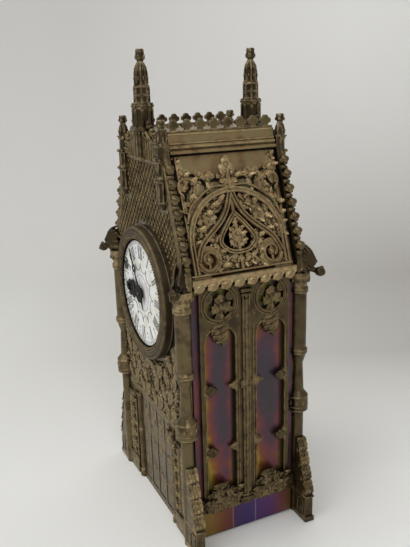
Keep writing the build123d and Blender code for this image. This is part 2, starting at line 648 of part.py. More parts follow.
def roof_panel(side):
    """Sloping roof casting: arch, crossed scroll strips and heart, with leaf tongues at the eave."""
    arch_foot = ROOF_ARCH_APEX * ROOF_SLOPE - ROOF_ARCH_R
    ring = ROOF_ARCH_R - ROOF_STRIP / 2
    eye = ROOF_ARCH_R * 0.21
    low = EAVE_BAND + eye + ROOF_STRIP / 2
    volute_x = ROOF_ARCH_R * 0.66
    top = arch_foot + ring
    with BuildPart() as panel:
        with BuildSketch(roof_plane(side, -ROOF_T)):
            with Locations((0, ROOF_SLOPE / 2)):
                Rectangle(2 * PANEL_HALF, ROOF_SLOPE)
            with Locations((0, arch_foot)):
                Circle(ROOF_ARCH_R - ROOF_STRIP, mode=Mode.SUBTRACT)
            with Locations((0, EAVE_BAND + (arch_foot - EAVE_BAND) / 2)):
                Rectangle(2 * (ROOF_ARCH_R - ROOF_STRIP), arch_foot - EAVE_BAND, mode=Mode.SUBTRACT)
            # strips that part at the arch's crown and curl into a volute each side
            for turn in (-1, 1):
                with BuildLine():
                    Spline(
                        (turn * 0.4, top),
                        (turn * ring * 0.11, top - ring * 0.30),
                        (turn * ring * 0.31, top - ring * 0.60),
                        (turn * ring * 0.76, low + eye * 1.45),
                        (turn * (volute_x + eye), low),
                    )
                trace(line_width=ROOF_STRIP)
                with Locations((turn * volute_x, low)):
                    Circle(eye + ROOF_STRIP / 2)
                    Circle(eye - ROOF_STRIP / 2, mode=Mode.SUBTRACT)
                    Circle(eye * 0.34)
                    Rectangle(ROOF_STRIP / 2, 2 * eye)
                # one side of the drop shaped heart between the strips
                with BuildLine():
                    Spline(
                        (0, top - ring * 0.46),
                        (turn * ring * 0.22, top - ring * 0.72),
                        (turn * ring * 0.38, low + eye * 1.4),
                        (turn * ring * 0.22, low + eye * 0.55),
                        (0, low + eye * 0.35),
                    )
                trace(line_width=ROOF_STRIP * 0.8)
                # leaf between strip and arch
                with BuildLine():
                    Line((turn * ring * 0.36, top - ring * 0.66), (turn * ring * 0.80, top - ring * 0.42))
                trace(line_width=ROOF_STRIP * 0.6)
                with Locations((turn * ring * 0.56, top - ring * 0.54)):
                    Circle(ROOF_STRIP * 1.2)
            # leaf stem that ties the heart to the eave band and to the crown
            with Locations((0, (EAVE_BAND + top) / 2)):
                Rectangle(ROOF_STRIP * 0.6, top - EAVE_BAND)
            with Locations((0, low + eye * 1.8)):
                Circle(eye * 0.6)
        extrude(amount=ROOF_T)
        # raised arch moulding and the fleuron above its crown
        with BuildSketch(roof_plane(side)):
            with BuildLine():
                ThreePointArc((-ring, arch_foot), (0, top), (ring, arch_foot))
            trace(line_width=ROOF_STRIP)
            crown_z = ROOF_SLOPE - 3 * ROOF_STRIP
            with Locations((0, crown_z)):
                Circle(ROOF_STRIP)
                with PolarLocations(ROOF_STRIP * 1.2, 3, 90):
                    Circle(ROOF_STRIP * 0.8)
            with Locations((0, (top + crown_z) / 2)):
                Rectangle(ROOF_STRIP * 0.8, crown_z - top)
            with Locations((-ROOF_STRIP, top + ROOF_STRIP * 1.6), (ROOF_STRIP, top + ROOF_STRIP * 1.6)):
                Circle(ROOF_STRIP * 0.7)
        extrude(amount=ROOF_T * 0.4)
        # leaf tongues that hang from the eave over the tracery
        pitch = 2 * PANEL_HALF / TONGUES
        with BuildSketch(sideways(side, SHEET_X)):
            with Locations((0, EAVE_Z - EAVE_H / 2)):
                Rectangle(2 * PANEL_HALF, EAVE_H)
        extrude(amount=TONGUE_X + TONGUE_T - SHEET_X)
        with BuildSketch(sideways(side, TONGUE_X)):
            with Locations((0, EAVE_Z - EAVE_H)):
                with GridLocations(pitch, 1, TONGUES, 1):
                    Ellipse(pitch * 0.42, TONGUE_DROP)
            with Locations((0, EAVE_Z)):
                Rectangle(2 * PANEL_HALF, 2 * EAVE_H, mode=Mode.SUBTRACT)
        extrude(amount=TONGUE_T)
        # the slope is cut level where it meets the deck and the wall head
        split(bisect_by=Plane.XY.offset(ROOF_TOP_Z), keep=Keep.BOTTOM)
    return panel


for side, word in ((-1, "left"), (1, "right")):
    save(roof_panel(side), f"{word}_roof_panel")

with BuildPart() as roof_deck:
    half = [
        (ROOF_TOP_X - ROOF_T, ROOF_TOP_Z),
        (ROOF_TOP_X + 1.6, ROOF_TOP_Z),
        (ROOF_TOP_X + 2.0, ROOF_TOP_Z + 1.4),
        (ROOF_TOP_X + 1.0, ROOF_TOP_Z + 2.0),
        (ROOF_TOP_X + 1.4, ROOF_TOP_Z + 3.6),
        (ROOF_TOP_X + 0.4, ROOF_TOP_Z + 4.4),
        (ROOF_TOP_X - 0.6, DECK_TOP_Z),
    ]
    with BuildSketch(facing(PANEL_HALF)):
        Polygon(*(half + [(-x, z) for x, z in reversed(half)]), align=None)
    extrude(amount=2 * PANEL_HALF)
    with BuildSketch(facing(PANEL_HALF)):
        with Locations((0, ROOF_TOP_Z + (DECK_H - DECK_WALL) / 2)):
            Rectangle(2 * (ROOF_TOP_X - ROOF_T), DECK_H - DECK_WALL)
    extrude(amount=2 * PANEL_HALF, mode=Mode.SUBTRACT)
    with BuildSketch(Plane.XY.offset(DECK_TOP_Z)):
        with GridLocations(2 * DECK_SCREW_X, 2 * SIDE_SCREW_Y, 2, 2):
            Circle(SCREW_R + FIT_GAP)
    extrude(amount=-DECK_WALL, mode=Mode.SUBTRACT)
save(roof_deck, "roof_deck")

with BuildPart() as case_screws:
    shank = LUG + DECK_WALL - 3 * FIT_GAP
    seats = []
    for x_way in (-1, 1):
        for y in (-SIDE_SCREW_Y, SIDE_SCREW_Y):
            seats.append(Plane((x_way * BASE_SCREW_X, y, BASE_Z)))
            seats.append(Plane(origin=(x_way * DECK_SCREW_X, y, DECK_TOP_Z), z_dir=(0, 0, -1)))
            for z in SIDE_SCREW_ZS:
                lug_x = x_way * (SHEET_X - FIT_GAP - LUG)
                seats.append(Plane(origin=(lug_x, y, z), z_dir=(x_way, 0, 0)))
    for seat in seats:
        with BuildSketch(seat):
            Circle(SCREW_R)
        extrude(amount=shank)
        with BuildSketch(seat):
            Circle(SCREW_HEAD_R)
        extrude(amount=-SCREW_HEAD_T)
save(case_screws, "case_screws")

for side, word in ((-1, "left"), (1, "right")):
    pitch = 2 * PANEL_HALF / MERLONS
    head_r = pitch * 0.36
    with BuildPart() as cresting:
        with BuildSketch(sideways(side, ROOF_TOP_X - CREST_T - 1.0)):
            with Locations((0, DECK_TOP_Z + CREST_H * 0.12)):
                Rectangle(2 * PANEL_HALF, CREST_H * 0.24)
            with Locations((0, DECK_TOP_Z + CREST_H * 0.35)):
                with GridLocations(pitch, 1, MERLONS, 1):
                    Rectangle(pitch * 0.42, CREST_H * 0.7)
            with Locations((0, DECK_TOP_Z + CREST_H - head_r)):
                with GridLocations(pitch, 1, MERLONS, 1):
                    Circle(head_r)
        extrude(amount=CREST_T)
    save(cresting, f"{word}_cresting")


# Spires and pinnacles

def spire(side):
    """Crocketed spire on the middle of a facade, with a tenon into the wall."""
    y = side * (FACADE_FACE - FACADE_T / 2)
    rise = HEIGHT - SPIRE_SEAT_Z
    marks = [
        (0.00, 0.06, 1.06, 1.06),
        (0.06, 0.33, 0.90, 0.86),
        (0.33, 0.39, 1.00, 1.00),
        (0.39, 0.53, 0.80, 0.70),
        (0.53, 0.56, 0.80, 0.80),
        (0.56, 0.66, 0.62, 0.58),
        (0.66, 0.70, 0.58, 0.66),
        (0.70, 0.79, 0.66, 0.36),
        (0.79, 0.84, 0.26, 0.26),
        (0.84, 0.92, 0.38, 0.44),
        (0.92, 1.00, 0.44, 0.20),
    ]
    with BuildPart() as pile:
        stacked(0, y, [
            (SPIRE_SEAT_Z + a * rise, SPIRE_SEAT_Z + b * rise, p * SPIRE_R, q * SPIRE_R)
            for a, b, p, q in marks
        ])
        with BuildSketch(Plane((0, y, SPIRE_SEAT_Z))):
            Circle(TENON_R)
        extrude(amount=-TENON_L)
        # side crockets at the foot
        for turn in (-1, 1):
            with Locations((turn * SPIRE_R * 1.1, y, SPIRE_SEAT_Z + rise * 0.05)):
                Sphere(SPIRE_R * 0.28)
    return pile


def pinnacle(side, flank):
    """Slender pinnacle: full round above the shoulder, half round against the facade below it."""
    x = flank * PINNACLE_X
    y = side * FACADE_FACE
    rise = PINNACLE_TOP_Z - PINNACLE_FOOT_Z
    marks = [
        (0.00, 0.05, 0.50, 0.95),
        (0.05, 0.24, 0.90, 0.86),
        (0.24, 0.28, 1.05, 1.05),
        (0.28, 0.48, 0.84, 0.80),
        (0.48, 0.52, 0.98, 0.98),
        (0.52, 0.70, 0.76, 0.72),
        (0.70, 0.74, 0.86, 0.86),
        (0.74, 0.86, 0.66, 0.40),
        (0.86, 0.89, 0.34, 0.34),
        (0.89, 0.95, 0.52, 0.56),
        (0.95, 1.00, 0.56, 0.34),
    ]
    with BuildPart() as pile:
        stacked(x, y, [
            (PINNACLE_FOOT_Z + a * rise, PINNACLE_FOOT_Z + b * rise, p * PINNACLE_R, q * PINNACLE_R)
            for a, b, p, q in marks
        ])
        with BuildSketch(Plane((x, y - side * PINNACLE_R, SHOULDER_Z))):
            Rectangle(4 * PINNACLE_R, 2 * PINNACLE_R)
        extrude(amount=-(SHOULDER_Z - PINNACLE_FOOT_Z), mode=Mode.SUBTRACT)
    return pile


for side, end in ((-1, "front"), (1, "rear")):
    save(spire(side), f"{end}_spire")
    for flank, word in ((-1, "left"), (1, "right")):
        save(pinnacle(side, flank), f"{end}_{word}_pinnacle")


# Gargoyles on the column capitals

def gargoyle(side, flank):
    """Winged gargoyle that leans out from a corner, with a round head and a ribbed wing."""
    turn = math.radians(GARGOYLE_TURN)
    way = (flank * math.cos(turn), side * math.sin(turn), 0)
    across = (-way[1], way[0], 0)
    foot = (flank * COLUMN_X, side * COLUMN_Y)
    neck_z = COLUMN_TOP_Z + 1.8
    marks = [(0.0, 3.6, 4.6, 4.0), (0.36, 3.4, 4.2, 4.4), (0.70, 2.4, 2.4, 2.4), (0.95, 1.4, 1.4, 0.8)]
    with BuildPart() as beast:
        for reach, half_w, half_h, lift in marks:
            centre = (foot[0] + way[0] * reach * GARGOYLE_REACH,
                      foot[1] + way[1] * reach * GARGOYLE_REACH, COLUMN_TOP_Z + lift)
            with BuildSketch(Plane(origin=centre, x_dir=across, z_dir=way)):
                Ellipse(half_w, half_h)
        loft()
        head = (foot[0] + way[0] * GARGOYLE_REACH, foot[1] + way[1] * GARGOYLE_REACH, neck_z - 1.0)
        with Locations(head):
            Sphere(GARGOYLE_HEAD_R)
        wing_plane = Plane(origin=(foot[0], foot[1], COLUMN_TOP_Z), x_dir=way, z_dir=(way[1], -way[0], 0))
        with BuildSketch(wing_plane):
            with BuildLine():
                Polyline((0, 2), (-0.5, 12), (1.8, 12.4))
                ThreePointArc((1.8, 12.4), (7.0, 9.4), (9.2, 4.0))
                Line((9.2, 4.0), (0, 2))
            make_face()
        extrude(amount=COLUMN_R / 2, both=True)
        # seat on the capital and against the end wall
        split(bisect_by=Plane.XY.offset(COLUMN_TOP_Z), keep=Keep.TOP)
        wall_x = COLUMN_X + COLUMN_R
        with BuildSketch(Plane((flank * (wall_x - 2 * COLUMN_R), side * (FACADE_FACE - 2 * COLUMN_R), COLUMN_TOP_Z))):
            Rectangle(4 * COLUMN_R, 4 * COLUMN_R)
        extrude(amount=8 * COLUMN_R, mode=Mode.SUBTRACT)
    return beast


for side, end in ((-1, "front"), (1, "rear")):
    for flank, word in ((-1, "left"), (1, "right")):
        save(gargoyle(side, flank), f"{end}_{word}_gargoyle")


# Rear door

with BuildPart() as rear_door:
    with BuildSketch(facing(FACADE_FACE + DOOR_T, z=DIAL_Z)):
        Circle(DOOR_R)
        # the strap ends at the hinge axis, so that it clears the wall as the door swings
        with Locations((-(DOOR_AXIS_X + DOOR_R - DOOR_KNUCKLE_R) / 2, 0)):
            Rectangle(DOOR_AXIS_X - DOOR_R + DOOR_KNUCKLE_R, DOOR_KNUCKLE_L - 2 * SEAT_GAP)
        with Locations((DOOR_KNOB_X, 0)):
            Circle(SCREW_R + PIVOT_GAP, mode=Mode.SUBTRACT)
    extrude(amount=DOOR_T)
    with BuildSketch(Plane((-DOOR_AXIS_X, DOOR_AXIS_Y, DIAL_Z - DOOR_KNUCKLE_L / 2 + SEAT_GAP))):
        Circle(DOOR_KNUCKLE_R)
    extrude(amount=DOOR_KNUCKLE_L - 2 * SEAT_GAP)
    with BuildSketch(Plane((-DOOR_AXIS_X, DOOR_AXIS_Y, DIAL_Z - DOOR_KNUCKLE_L))):
        Circle(DOOR_PIN_R + PIVOT_GAP)
    extrude(amount=2 * DOOR_KNUCKLE_L, mode=Mode.SUBTRACT)
    # raised rim on the outside
    with BuildSketch(facing(FACADE_FACE + DOOR_T + DOOR_T / 2, z=DIAL_Z)):
        Circle(DOOR_R)
        Circle(DOOR_R - DOOR_T, mode=Mode.SUBTRACT)
        with Locations((-DOOR_R, 0)):
            Rectangle(DOOR_R / 2, DOOR_KNUCKLE_L * 4, mode=Mode.SUBTRACT)
    extrude(amount=DOOR_T / 2)
save(rear_door, "rear_door")

with BuildPart() as door_hinge_pin:
    with BuildSketch(Plane((-DOOR_AXIS_X, DOOR_AXIS_Y, DIAL_Z - 1.5 * DOOR_KNUCKLE_L))):
        Circle(DOOR_PIN_R)
    extrude(amount=3 * DOOR_KNUCKLE_L)
    with BuildSketch(Plane((-DOOR_AXIS_X, DOOR_AXIS_Y, DIAL_Z + 1.5 * DOOR_KNUCKLE_L))):
        Circle(DOOR_PIN_R * 1.6)
    extrude(amount=DOOR_PIN_R)
save(door_hinge_pin, "door_hinge_pin")

with BuildPart() as door_knob:
    knob_y = FACADE_FACE + DOOR_T
    with BuildSketch(Plane(origin=(DOOR_KNOB_X, knob_y, DIAL_Z), x_dir=(1, 0, 0), z_dir=(0, 0, 1))):
        with BuildLine():
            Polyline((0, -DOOR_T), (SCREW_R, -DOOR_T), (SCREW_R, 0), (DOOR_KNOB_R * 0.5, 0),
                     (DOOR_KNOB_R * 0.5, 1.4), (DOOR_KNOB_R, 2.4), (DOOR_KNOB_R, 3.6),
                     (DOOR_KNOB_R * 0.6, 4.6), (0, 4.6), close=True)
        make_face()
    revolve(axis=Axis((DOOR_KNOB_X, knob_y, DIAL_Z), (0, 1, 0)))
save(door_knob, "door_knob")


# Drum, bezel and dial

with BuildPart() as drum_case:
    with BuildSketch(facing(DRUM_BACK_Y, z=DIAL_Z)):
        Circle(DRUM_R)
        Circle(DRUM_BORE_R, mode=Mode.SUBTRACT)
    extrude(amount=DRUM_BACK_Y + DRUM_FRONT_Y)
    with BuildSketch(facing(-FACADE_FACE, z=DIAL_Z)):
        Circle(DRUM_FLANGE_R)
        Circle(DRUM_R, mode=Mode.SUBTRACT)
    extrude(amount=DRUM_FLANGE_T)
    # ledge that the movement's front plate rests on
    with BuildSketch(facing(-FRONT_PLATE_BACK + PLATE_T, z=DIAL_Z)):
        Circle(DRUM_BORE_R)
        Circle(PILLAR_AT + PILLAR_R + SEAT_GAP, mode=Mode.SUBTRACT)
    extrude(amount=PLATE_T)
save(drum_case, "drum_case")

with BuildPart() as drum_back:
    with BuildSketch(facing(DRUM_BACK_Y + DRUM_BACK_T, z=DIAL_Z)):
        Circle(DRUM_R)
        Circle(KNOB_R * 0.6, mode=Mode.SUBTRACT)
        with Locations((BARREL_AT[0], BARREL_AT[1] - DIAL_Z)):
            Circle(BARREL_ARBOR_R * 1.6, mode=Mode.SUBTRACT)
        with Locations((BALANCE_PIVOT[0], BALANCE_PIVOT[1] - DIAL_Z)):
            SlotOverall(3 * COCK_W, COCK_W, mode=Mode.SUBTRACT)
    extrude(amount=DRUM_BACK_T)
save(drum_back, "drum_back")

with BuildPart() as bezel:
    with BuildSketch(facing(-FACADE_FACE, z=DIAL_Z)):
        Circle(BEZEL_R)
        Circle(DRUM_FLANGE_R + FIT_GAP, mode=Mode.SUBTRACT)
    extrude(amount=DRUM_FRONT_Y - FACADE_FACE)
    with BuildSketch(facing(-DRUM_FRONT_Y, z=DIAL_Z)):
        Circle(BEZEL_R)
        Circle(BEZEL_BORE_R, mode=Mode.SUBTRACT)
    extrude(amount=BEZEL_LIP_T)
    rim = bezel.edges().filter_by(GeomType.CIRCLE).group_by(Axis.Y)[0]
    chamfer(rim, length=BEZEL_LIP_T * 0.5)
save(bezel, "bezel")

with BuildPart() as dial:
    with BuildSketch(facing(-DIAL_BACK_Y, z=DIAL_Z)):
        Circle(DRUM_BORE_R - PLATE_EDGE_GAP)
        Circle(DIAL_HOLE_R, mode=Mode.SUBTRACT)
    extrude(amount=DIAL_T)
    with BuildSketch(facing(-FRONT_PLATE_FACE, z=DIAL_Z)):
        with Locations((0, DIAL_FOOT_AT), (0, -DIAL_FOOT_AT)):
            Circle(DIAL_FOOT_R)
    extrude(amount=MOTION_GAP)
save(dial, "dial")


# Movement plates

TRAIN_PIVOTS = (THIRD_AT, FOURTH_AT, ESCAPE_AT, LEVER_PIVOT)
PIVOT_HOLE_R = PIVOT_R + PIVOT_GAP
BARREL_HOLE_R = BARREL_ARBOR_R + PIVOT_GAP
CENTRE_HOLE_R = CENTRE_ARBOR_R + PIVOT_GAP
COCK_HOLE_R = 2 * PIVOT_R + 0.5


def plate(back_y, balance_hole, stud_y, stud_at, stud_l):
    """Round movement plate with pivot holes, pillar holes and one stud; back_y is its rear face."""
    with BuildPart() as disc:
        with BuildSketch(facing(-back_y)):
            with Locations(CENTRE_AT):
                Circle(PLATE_R)
                Circle(CENTRE_HOLE_R, mode=Mode.SUBTRACT)
                for degrees in PILLAR_DEGS:
                    with Locations(polar((0, 0), PILLAR_AT, degrees)):
                        Circle(PILLAR_SCREW_R + FIT_GAP, mode=Mode.SUBTRACT)
            with Locations(BARREL_AT):
                Circle(BARREL_HOLE_R, mode=Mode.SUBTRACT)
            for pivot in TRAIN_PIVOTS:
                with Locations(pivot):
                    Circle(PIVOT_HOLE_R, mode=Mode.SUBTRACT)
            with Locations(BALANCE_PIVOT):
                Circle(balance_hole, mode=Mode.SUBTRACT)
        extrude(amount=PLATE_T)
        with BuildSketch(facing_at(-stud_y, stud_at)):
            Circle(PIVOT_R)
        extrude(amount=stud_l)
    return disc


# the front plate's stud carries the minute wheel, the back plate's the click
MINUTE_STUD_L = MOTION_GAP - 2 * SEAT_GAP
CLICK_STUD_L = RATCHET_T + 3 * SEAT_GAP
front_plate = plate(FRONT_PLATE_BACK, PIVOT_HOLE_R, FRONT_PLATE_FACE, MINUTE_AT, MINUTE_STUD_L)
save(front_plate, "front_plate")
back_plate = plate(BACK_PLATE_BACK, COCK_HOLE_R, BACK_PLATE_BACK, CLICK_PIVOT, -CLICK_STUD_L)
save(back_plate, "back_plate")

with BuildPart() as plate_pillars:
    for degrees in PILLAR_DEGS:
        spot = polar(CENTRE_AT, PILLAR_AT, degrees)
        with BuildSketch(facing_at(-BACK_PLATE_FACE, spot)):
            Circle(PILLAR_R)
        extrude(amount=PLATE_GAP)
        with BuildSketch(facing_at(-BACK_PLATE_BACK, spot)):
            Circle(PILLAR_SCREW_R)
        extrude(amount=PLATE_GAP + 2 * PLATE_T)
save(plate_pillars, "plate_pillars")


# Gears

def gear_points(teeth, module, phase, thin, reach, depth):
    """Outline of a gear about its own centre, as straight flanked teeth with chamfered tips.

    phase is the angle of one tooth in degrees, thin the tooth's share of the pitch,
    reach and depth the addendum and dedendum in modules.
    """
    pitch_r = module * teeth / 2
    step = 2 * math.pi / teeth
    stations = (
        (pitch_r - depth * module, thin * 0.62),
        (pitch_r, thin * 0.5),
        (pitch_r + reach * module * 0.65, thin * 0.30),
        (pitch_r + reach * module, thin * 0.12),
    )
    points = []
    for tooth in range(teeth):
        middle = math.radians(phase) + tooth * step
        for radius, half in stations:
            points.append((radius * math.cos(middle - half * step), radius * math.sin(middle - half * step)))
        for radius, half in reversed(stations):
            points.append((radius * math.cos(middle + half * step), radius * math.sin(middle + half * step)))
    return points


WHEEL_THIN = 0.42
LEAF_THIN = 0.36
TOOTH_REACH = 0.85
TOOTH_DEPTH = 1.15


def wheel_teeth(teeth, module, phase):
    """Outline of a wheel."""
    return gear_points(teeth, module, phase, WHEEL_THIN, TOOTH_REACH, TOOTH_DEPTH)


def pinion_leaves(leaves, module, phase):
    """Outline of a pinion, with thinner leaves."""
    return gear_points(leaves, module, phase, LEAF_THIN, TOOTH_REACH, TOOTH_DEPTH)


def mate_phase(line_deg, phase, teeth, mate_teeth):
    """Phase of a gear that meshes with another, along the line from that gear's centre."""
    step = 360.0 / teeth
    share = ((line_deg - phase) % step) / step
    return line_deg + 180.0 + (share - 0.5) * 360.0 / mate_teeth


def disc_spokes(rim_r, hub_r, arms, arm_w):
    """Cut the spaces between the arms of a wheel out of the open sketch."""
    gap = 360.0 / arms
    for arm in range(arms):
        middle = math.radians(arm * gap + gap / 2)
        half = math.radians(gap / 2)
        swing = half - math.asin(arm_w / 2 / rim_r)
        root = half - math.asin(min(0.95, arm_w / 2 / hub_r))
        with BuildLine() as space:
            a = (rim_r * math.cos(middle - swing), rim_r * math.sin(middle - swing))
            b = (rim_r * math.cos(middle), rim_r * math.sin(middle))
            c = (rim_r * math.cos(middle + swing), rim_r * math.sin(middle + swing))
            d = (hub_r * math.cos(middle + root), hub_r * math.sin(middle + root))
            e = (hub_r * math.cos(middle), hub_r * math.sin(middle))
            f = (hub_r * math.cos(middle - root), hub_r * math.sin(middle - root))
            ThreePointArc(a, b, c)
            Line(c, d)
            ThreePointArc(d, e, f)
            Line(f, a)
        make_face(space.edges(), mode=Mode.SUBTRACT)


# Heights in the movement, as distances in front of the middle plane
BARREL_FRONT = FRONT_PLATE_BACK - 4 * END_SHAKE
BARREL_REAR = BARREL_FRONT - BARREL_H
BARREL_TEETH_T = 2.0
CENTRE_WHEEL_Y = BARREL_REAR - 1.4
THIRD_WHEEL_Y = FRONT_PLATE_BACK - 6.6
FOURTH_WHEEL_Y = THIRD_WHEEL_Y - 4.0
ESCAPE_WHEEL_Y = FRONT_PLATE_BACK - 2.4
LEAF_L = 2.4
BALANCE_Y = BACK_PLATE_FACE + 3.4
HAIR_Y = BACK_PLATE_FACE + 1.6


def arbor_between(radius, spot):
    """Add a plain arbor from plate to plate, with a shoulder inside each, to the open part."""
    with BuildSketch(facing_at(-(BACK_PLATE_BACK + FIT_GAP), spot)) as pivots:
        Circle(radius)
    extrude(pivots.sketch, amount=PLATE_GAP + 2 * (PLATE_T - FIT_GAP))
    with BuildSketch(facing_at(-(BACK_PLATE_FACE + END_SHAKE), spot)) as shoulder:
        Circle(radius * 1.5)
    extrude(shoulder.sketch, amount=PLATE_GAP - 2 * END_SHAKE)


def train_wheel(spot, teeth, module, phase, wheel_y, leaves, leaf_module, leaf_phase, leaf_y):
    """Wheel and pinion on one arbor; wheel_y and leaf_y are the rear faces."""
    rim = module * teeth / 2 - (TOOTH_DEPTH + 1.5) * module - 0.4
    with BuildPart() as wheel:
        with BuildSketch(facing_at(-wheel_y, spot)):
            Polygon(*wheel_teeth(teeth, module, phase), align=None)
            disc_spokes(rim, 2 * PIVOT_R + 1.0, 4, 1.4)
        extrude(amount=WHEEL_T)
        with BuildSketch(facing_at(-leaf_y, spot)):
            Polygon(*pinion_leaves(leaves, leaf_module, leaf_phase), align=None)
        extrude(amount=LEAF_L)
        arbor_between(PIVOT_R, spot)
    return wheel


CENTRE_PHASE = 0.0
CENTRE_LEAF_PHASE = 0.0
BARREL_PHASE = mate_phase(BARREL_DEG, CENTRE_LEAF_PHASE, CENTRE_LEAVES, BARREL_TEETH)
THIRD_LEAF_PHASE = mate_phase(THIRD_DEG, CENTRE_PHASE, CENTRE_TEETH, THIRD_LEAVES)
FOURTH_LEAF_PHASE = mate_phase(FOURTH_DEG, 0.0, THIRD_TEETH, FOURTH_LEAVES)
ESCAPE_LEAF_PHASE = mate_phase(ESCAPE_DEG, 0.0, FOURTH_TEETH, ESCAPE_LEAVES)

with BuildPart() as centre_wheel:
    rim = CENTRE_MODULE * CENTRE_TEETH / 2 - 1.4
    with BuildSketch(facing_at(-CENTRE_WHEEL_Y, CENTRE_AT)):
        Polygon(*wheel_teeth(CENTRE_TEETH, CENTRE_MODULE, CENTRE_PHASE), align=None)
        disc_spokes(rim, 3.2, 4, 1.8)
    extrude(amount=WHEEL_T)
    with BuildSketch(facing_at(-CENTRE_WHEEL_Y, CENTRE_AT)):
        Polygon(*pinion_leaves(CENTRE_LEAVES, BARREL_MODULE, CENTRE_LEAF_PHASE), align=None)
    extrude(amount=BARREL_REAR + BARREL_TEETH_T + SEAT_GAP - CENTRE_WHEEL_Y)
    with BuildSketch(facing_at(-(BACK_PLATE_FACE + END_SHAKE), CENTRE_AT)):
        Circle(CENTRE_ARBOR_R + PIPE_WALL)
    extrude(amount=PLATE_GAP - 2 * END_SHAKE)
    with BuildSketch(facing_at(-BACK_PLATE_FACE, CENTRE_AT)):
        Circle(CENTRE_HOLE_R)
    extrude(amount=PLATE_GAP, mode=Mode.SUBTRACT)
save(centre_wheel, "centre_wheel")

third_wheel = train_wheel(
    THIRD_AT, THIRD_TEETH, THIRD_MODULE, 0.0, THIRD_WHEEL_Y,
    THIRD_LEAVES, CENTRE_MODULE, THIRD_LEAF_PHASE, CENTRE_WHEEL_Y - (LEAF_L - WHEEL_T) / 2)
save(third_wheel, "third_wheel")

fourth_wheel = train_wheel(
    FOURTH_AT, FOURTH_TEETH, FOURTH_MODULE, 0.0, FOURTH_WHEEL_Y,
    FOURTH_LEAVES, THIRD_MODULE, FOURTH_LEAF_PHASE, THIRD_WHEEL_Y - (LEAF_L - WHEEL_T) / 2)
save(fourth_wheel, "fourth_wheel")

with BuildPart() as escape_wheel:
    club = []
    for tooth in range(ESCAPE_TEETH):
        start = 2 * math.pi * tooth / ESCAPE_TEETH
        pitch = 2 * math.pi / ESCAPE_TEETH
        for radius, share in ((ESCAPE_R * 0.72, 0.0), (ESCAPE_R, 0.30), (ESCAPE_R, 0.42), (ESCAPE_R * 0.72, 0.50)):
            club.append((radius * math.cos(start + share * pitch), radius * math.sin(start + share * pitch)))
    with BuildSketch(facing_at(-ESCAPE_WHEEL_Y, ESCAPE_AT)):
        Polygon(*club, align=None)
        disc_spokes(ESCAPE_R * 0.56, 1.7, 3, 0.9)
    extrude(amount=WHEEL_T)
    with BuildSketch(facing_at(-(FOURTH_WHEEL_Y - (LEAF_L - WHEEL_T) / 2), ESCAPE_AT)):
        Polygon(*pinion_leaves(ESCAPE_LEAVES, FOURTH_MODULE, ESCAPE_LEAF_PHASE), align=None)
    extrude(amount=LEAF_L)
    arbor_between(PIVOT_R, ESCAPE_AT)
save(escape_wheel, "escape_wheel")


# Barrel, mainspring and winding

def spiral_strip(start_r, pitch, half_turns, thick):
    """Draw a flat spiral strip in the open sketch, as half circles about two centres in turn."""
    ends = {}
    with BuildLine() as strip:
        for edge in (-thick / 2, thick / 2):
            for turn in range(half_turns):
                sign = 1 if turn % 2 == 0 else -1
                shift = 0.0 if turn % 2 == 0 else pitch / 2
                radius = start_r + turn * pitch / 2 + edge
                first = (shift + sign * radius, 0)
                last = (shift - sign * radius, 0)
                ThreePointArc(first, (shift, sign * radius), last)
                if turn == 0:
                    ends[(edge, "in")] = first
                if turn == half_turns - 1:
                    ends[(edge, "out")] = last
        Line(ends[(-thick / 2, "in")], ends[(thick / 2, "in")])
        Line(ends[(-thick / 2, "out")], ends[(thick / 2, "out")])
    make_face(strip.edges())


SPRING_START = BARREL_ARBOR_R + SPRING_T / 2 + 3 * FIT_GAP
BARREL_BODY_R = BARREL_MODULE * BARREL_TEETH / 2 - (TOOTH_DEPTH + 0.2) * BARREL_MODULE

with BuildPart() as mainspring_barrel:
    with BuildSketch(facing_at(-BARREL_REAR, BARREL_AT)):
        Circle(BARREL_BODY_R)
    extrude(amount=BARREL_H - BARREL_WALL)
    with BuildSketch(facing_at(-BARREL_REAR, BARREL_AT)):
        Polygon(*wheel_teeth(BARREL_TEETH, BARREL_MODULE, BARREL_PHASE), align=None)
    extrude(amount=BARREL_TEETH_T)
    with BuildSketch(facing_at(-(BARREL_REAR + BARREL_WALL), BARREL_AT)):
        Circle(BARREL_BODY_R - BARREL_WALL)
    extrude(amount=BARREL_H, mode=Mode.SUBTRACT)
    with BuildSketch(facing_at(-BARREL_REAR, BARREL_AT)):
        Circle(BARREL_HOLE_R)
    extrude(amount=BARREL_H, mode=Mode.SUBTRACT)
save(mainspring_barrel, "mainspring_barrel")

with BuildPart() as barrel_cover:
    with BuildSketch(facing_at(-(BARREL_FRONT - BARREL_WALL), BARREL_AT)):
        Circle(BARREL_BODY_R)
        Circle(BARREL_HOLE_R, mode=Mode.SUBTRACT)
    extrude(amount=BARREL_WALL)
save(barrel_cover, "barrel_cover")

with BuildPart() as mainspring:
    with BuildSketch(facing_at(-(BARREL_REAR + BARREL_WALL + FIT_GAP), BARREL_AT)):
        spiral_strip(SPRING_START, SPRING_PITCH, SPRING_HALF_TURNS, SPRING_T)
    extrude(amount=BARREL_H - 2 * (BARREL_WALL + FIT_GAP))
save(mainspring, "mainspring")

KEY_HUB_R = 2 * BARREL_ARBOR_R
KEY_Y = DRUM_BACK_Y + DRUM_BACK_T + 1.0
RATCHET_Y = BACK_PLATE_BACK - 2 * SEAT_GAP

with BuildPart() as barrel_arbor:
    with BuildSketch(facing_at(KEY_Y + KNOB_T, BARREL_AT)):
        Circle(BARREL_ARBOR_R)
    extrude(amount=KEY_Y + KNOB_T + FRONT_PLATE_FACE - FIT_GAP)
save(barrel_arbor, "barrel_arbor")

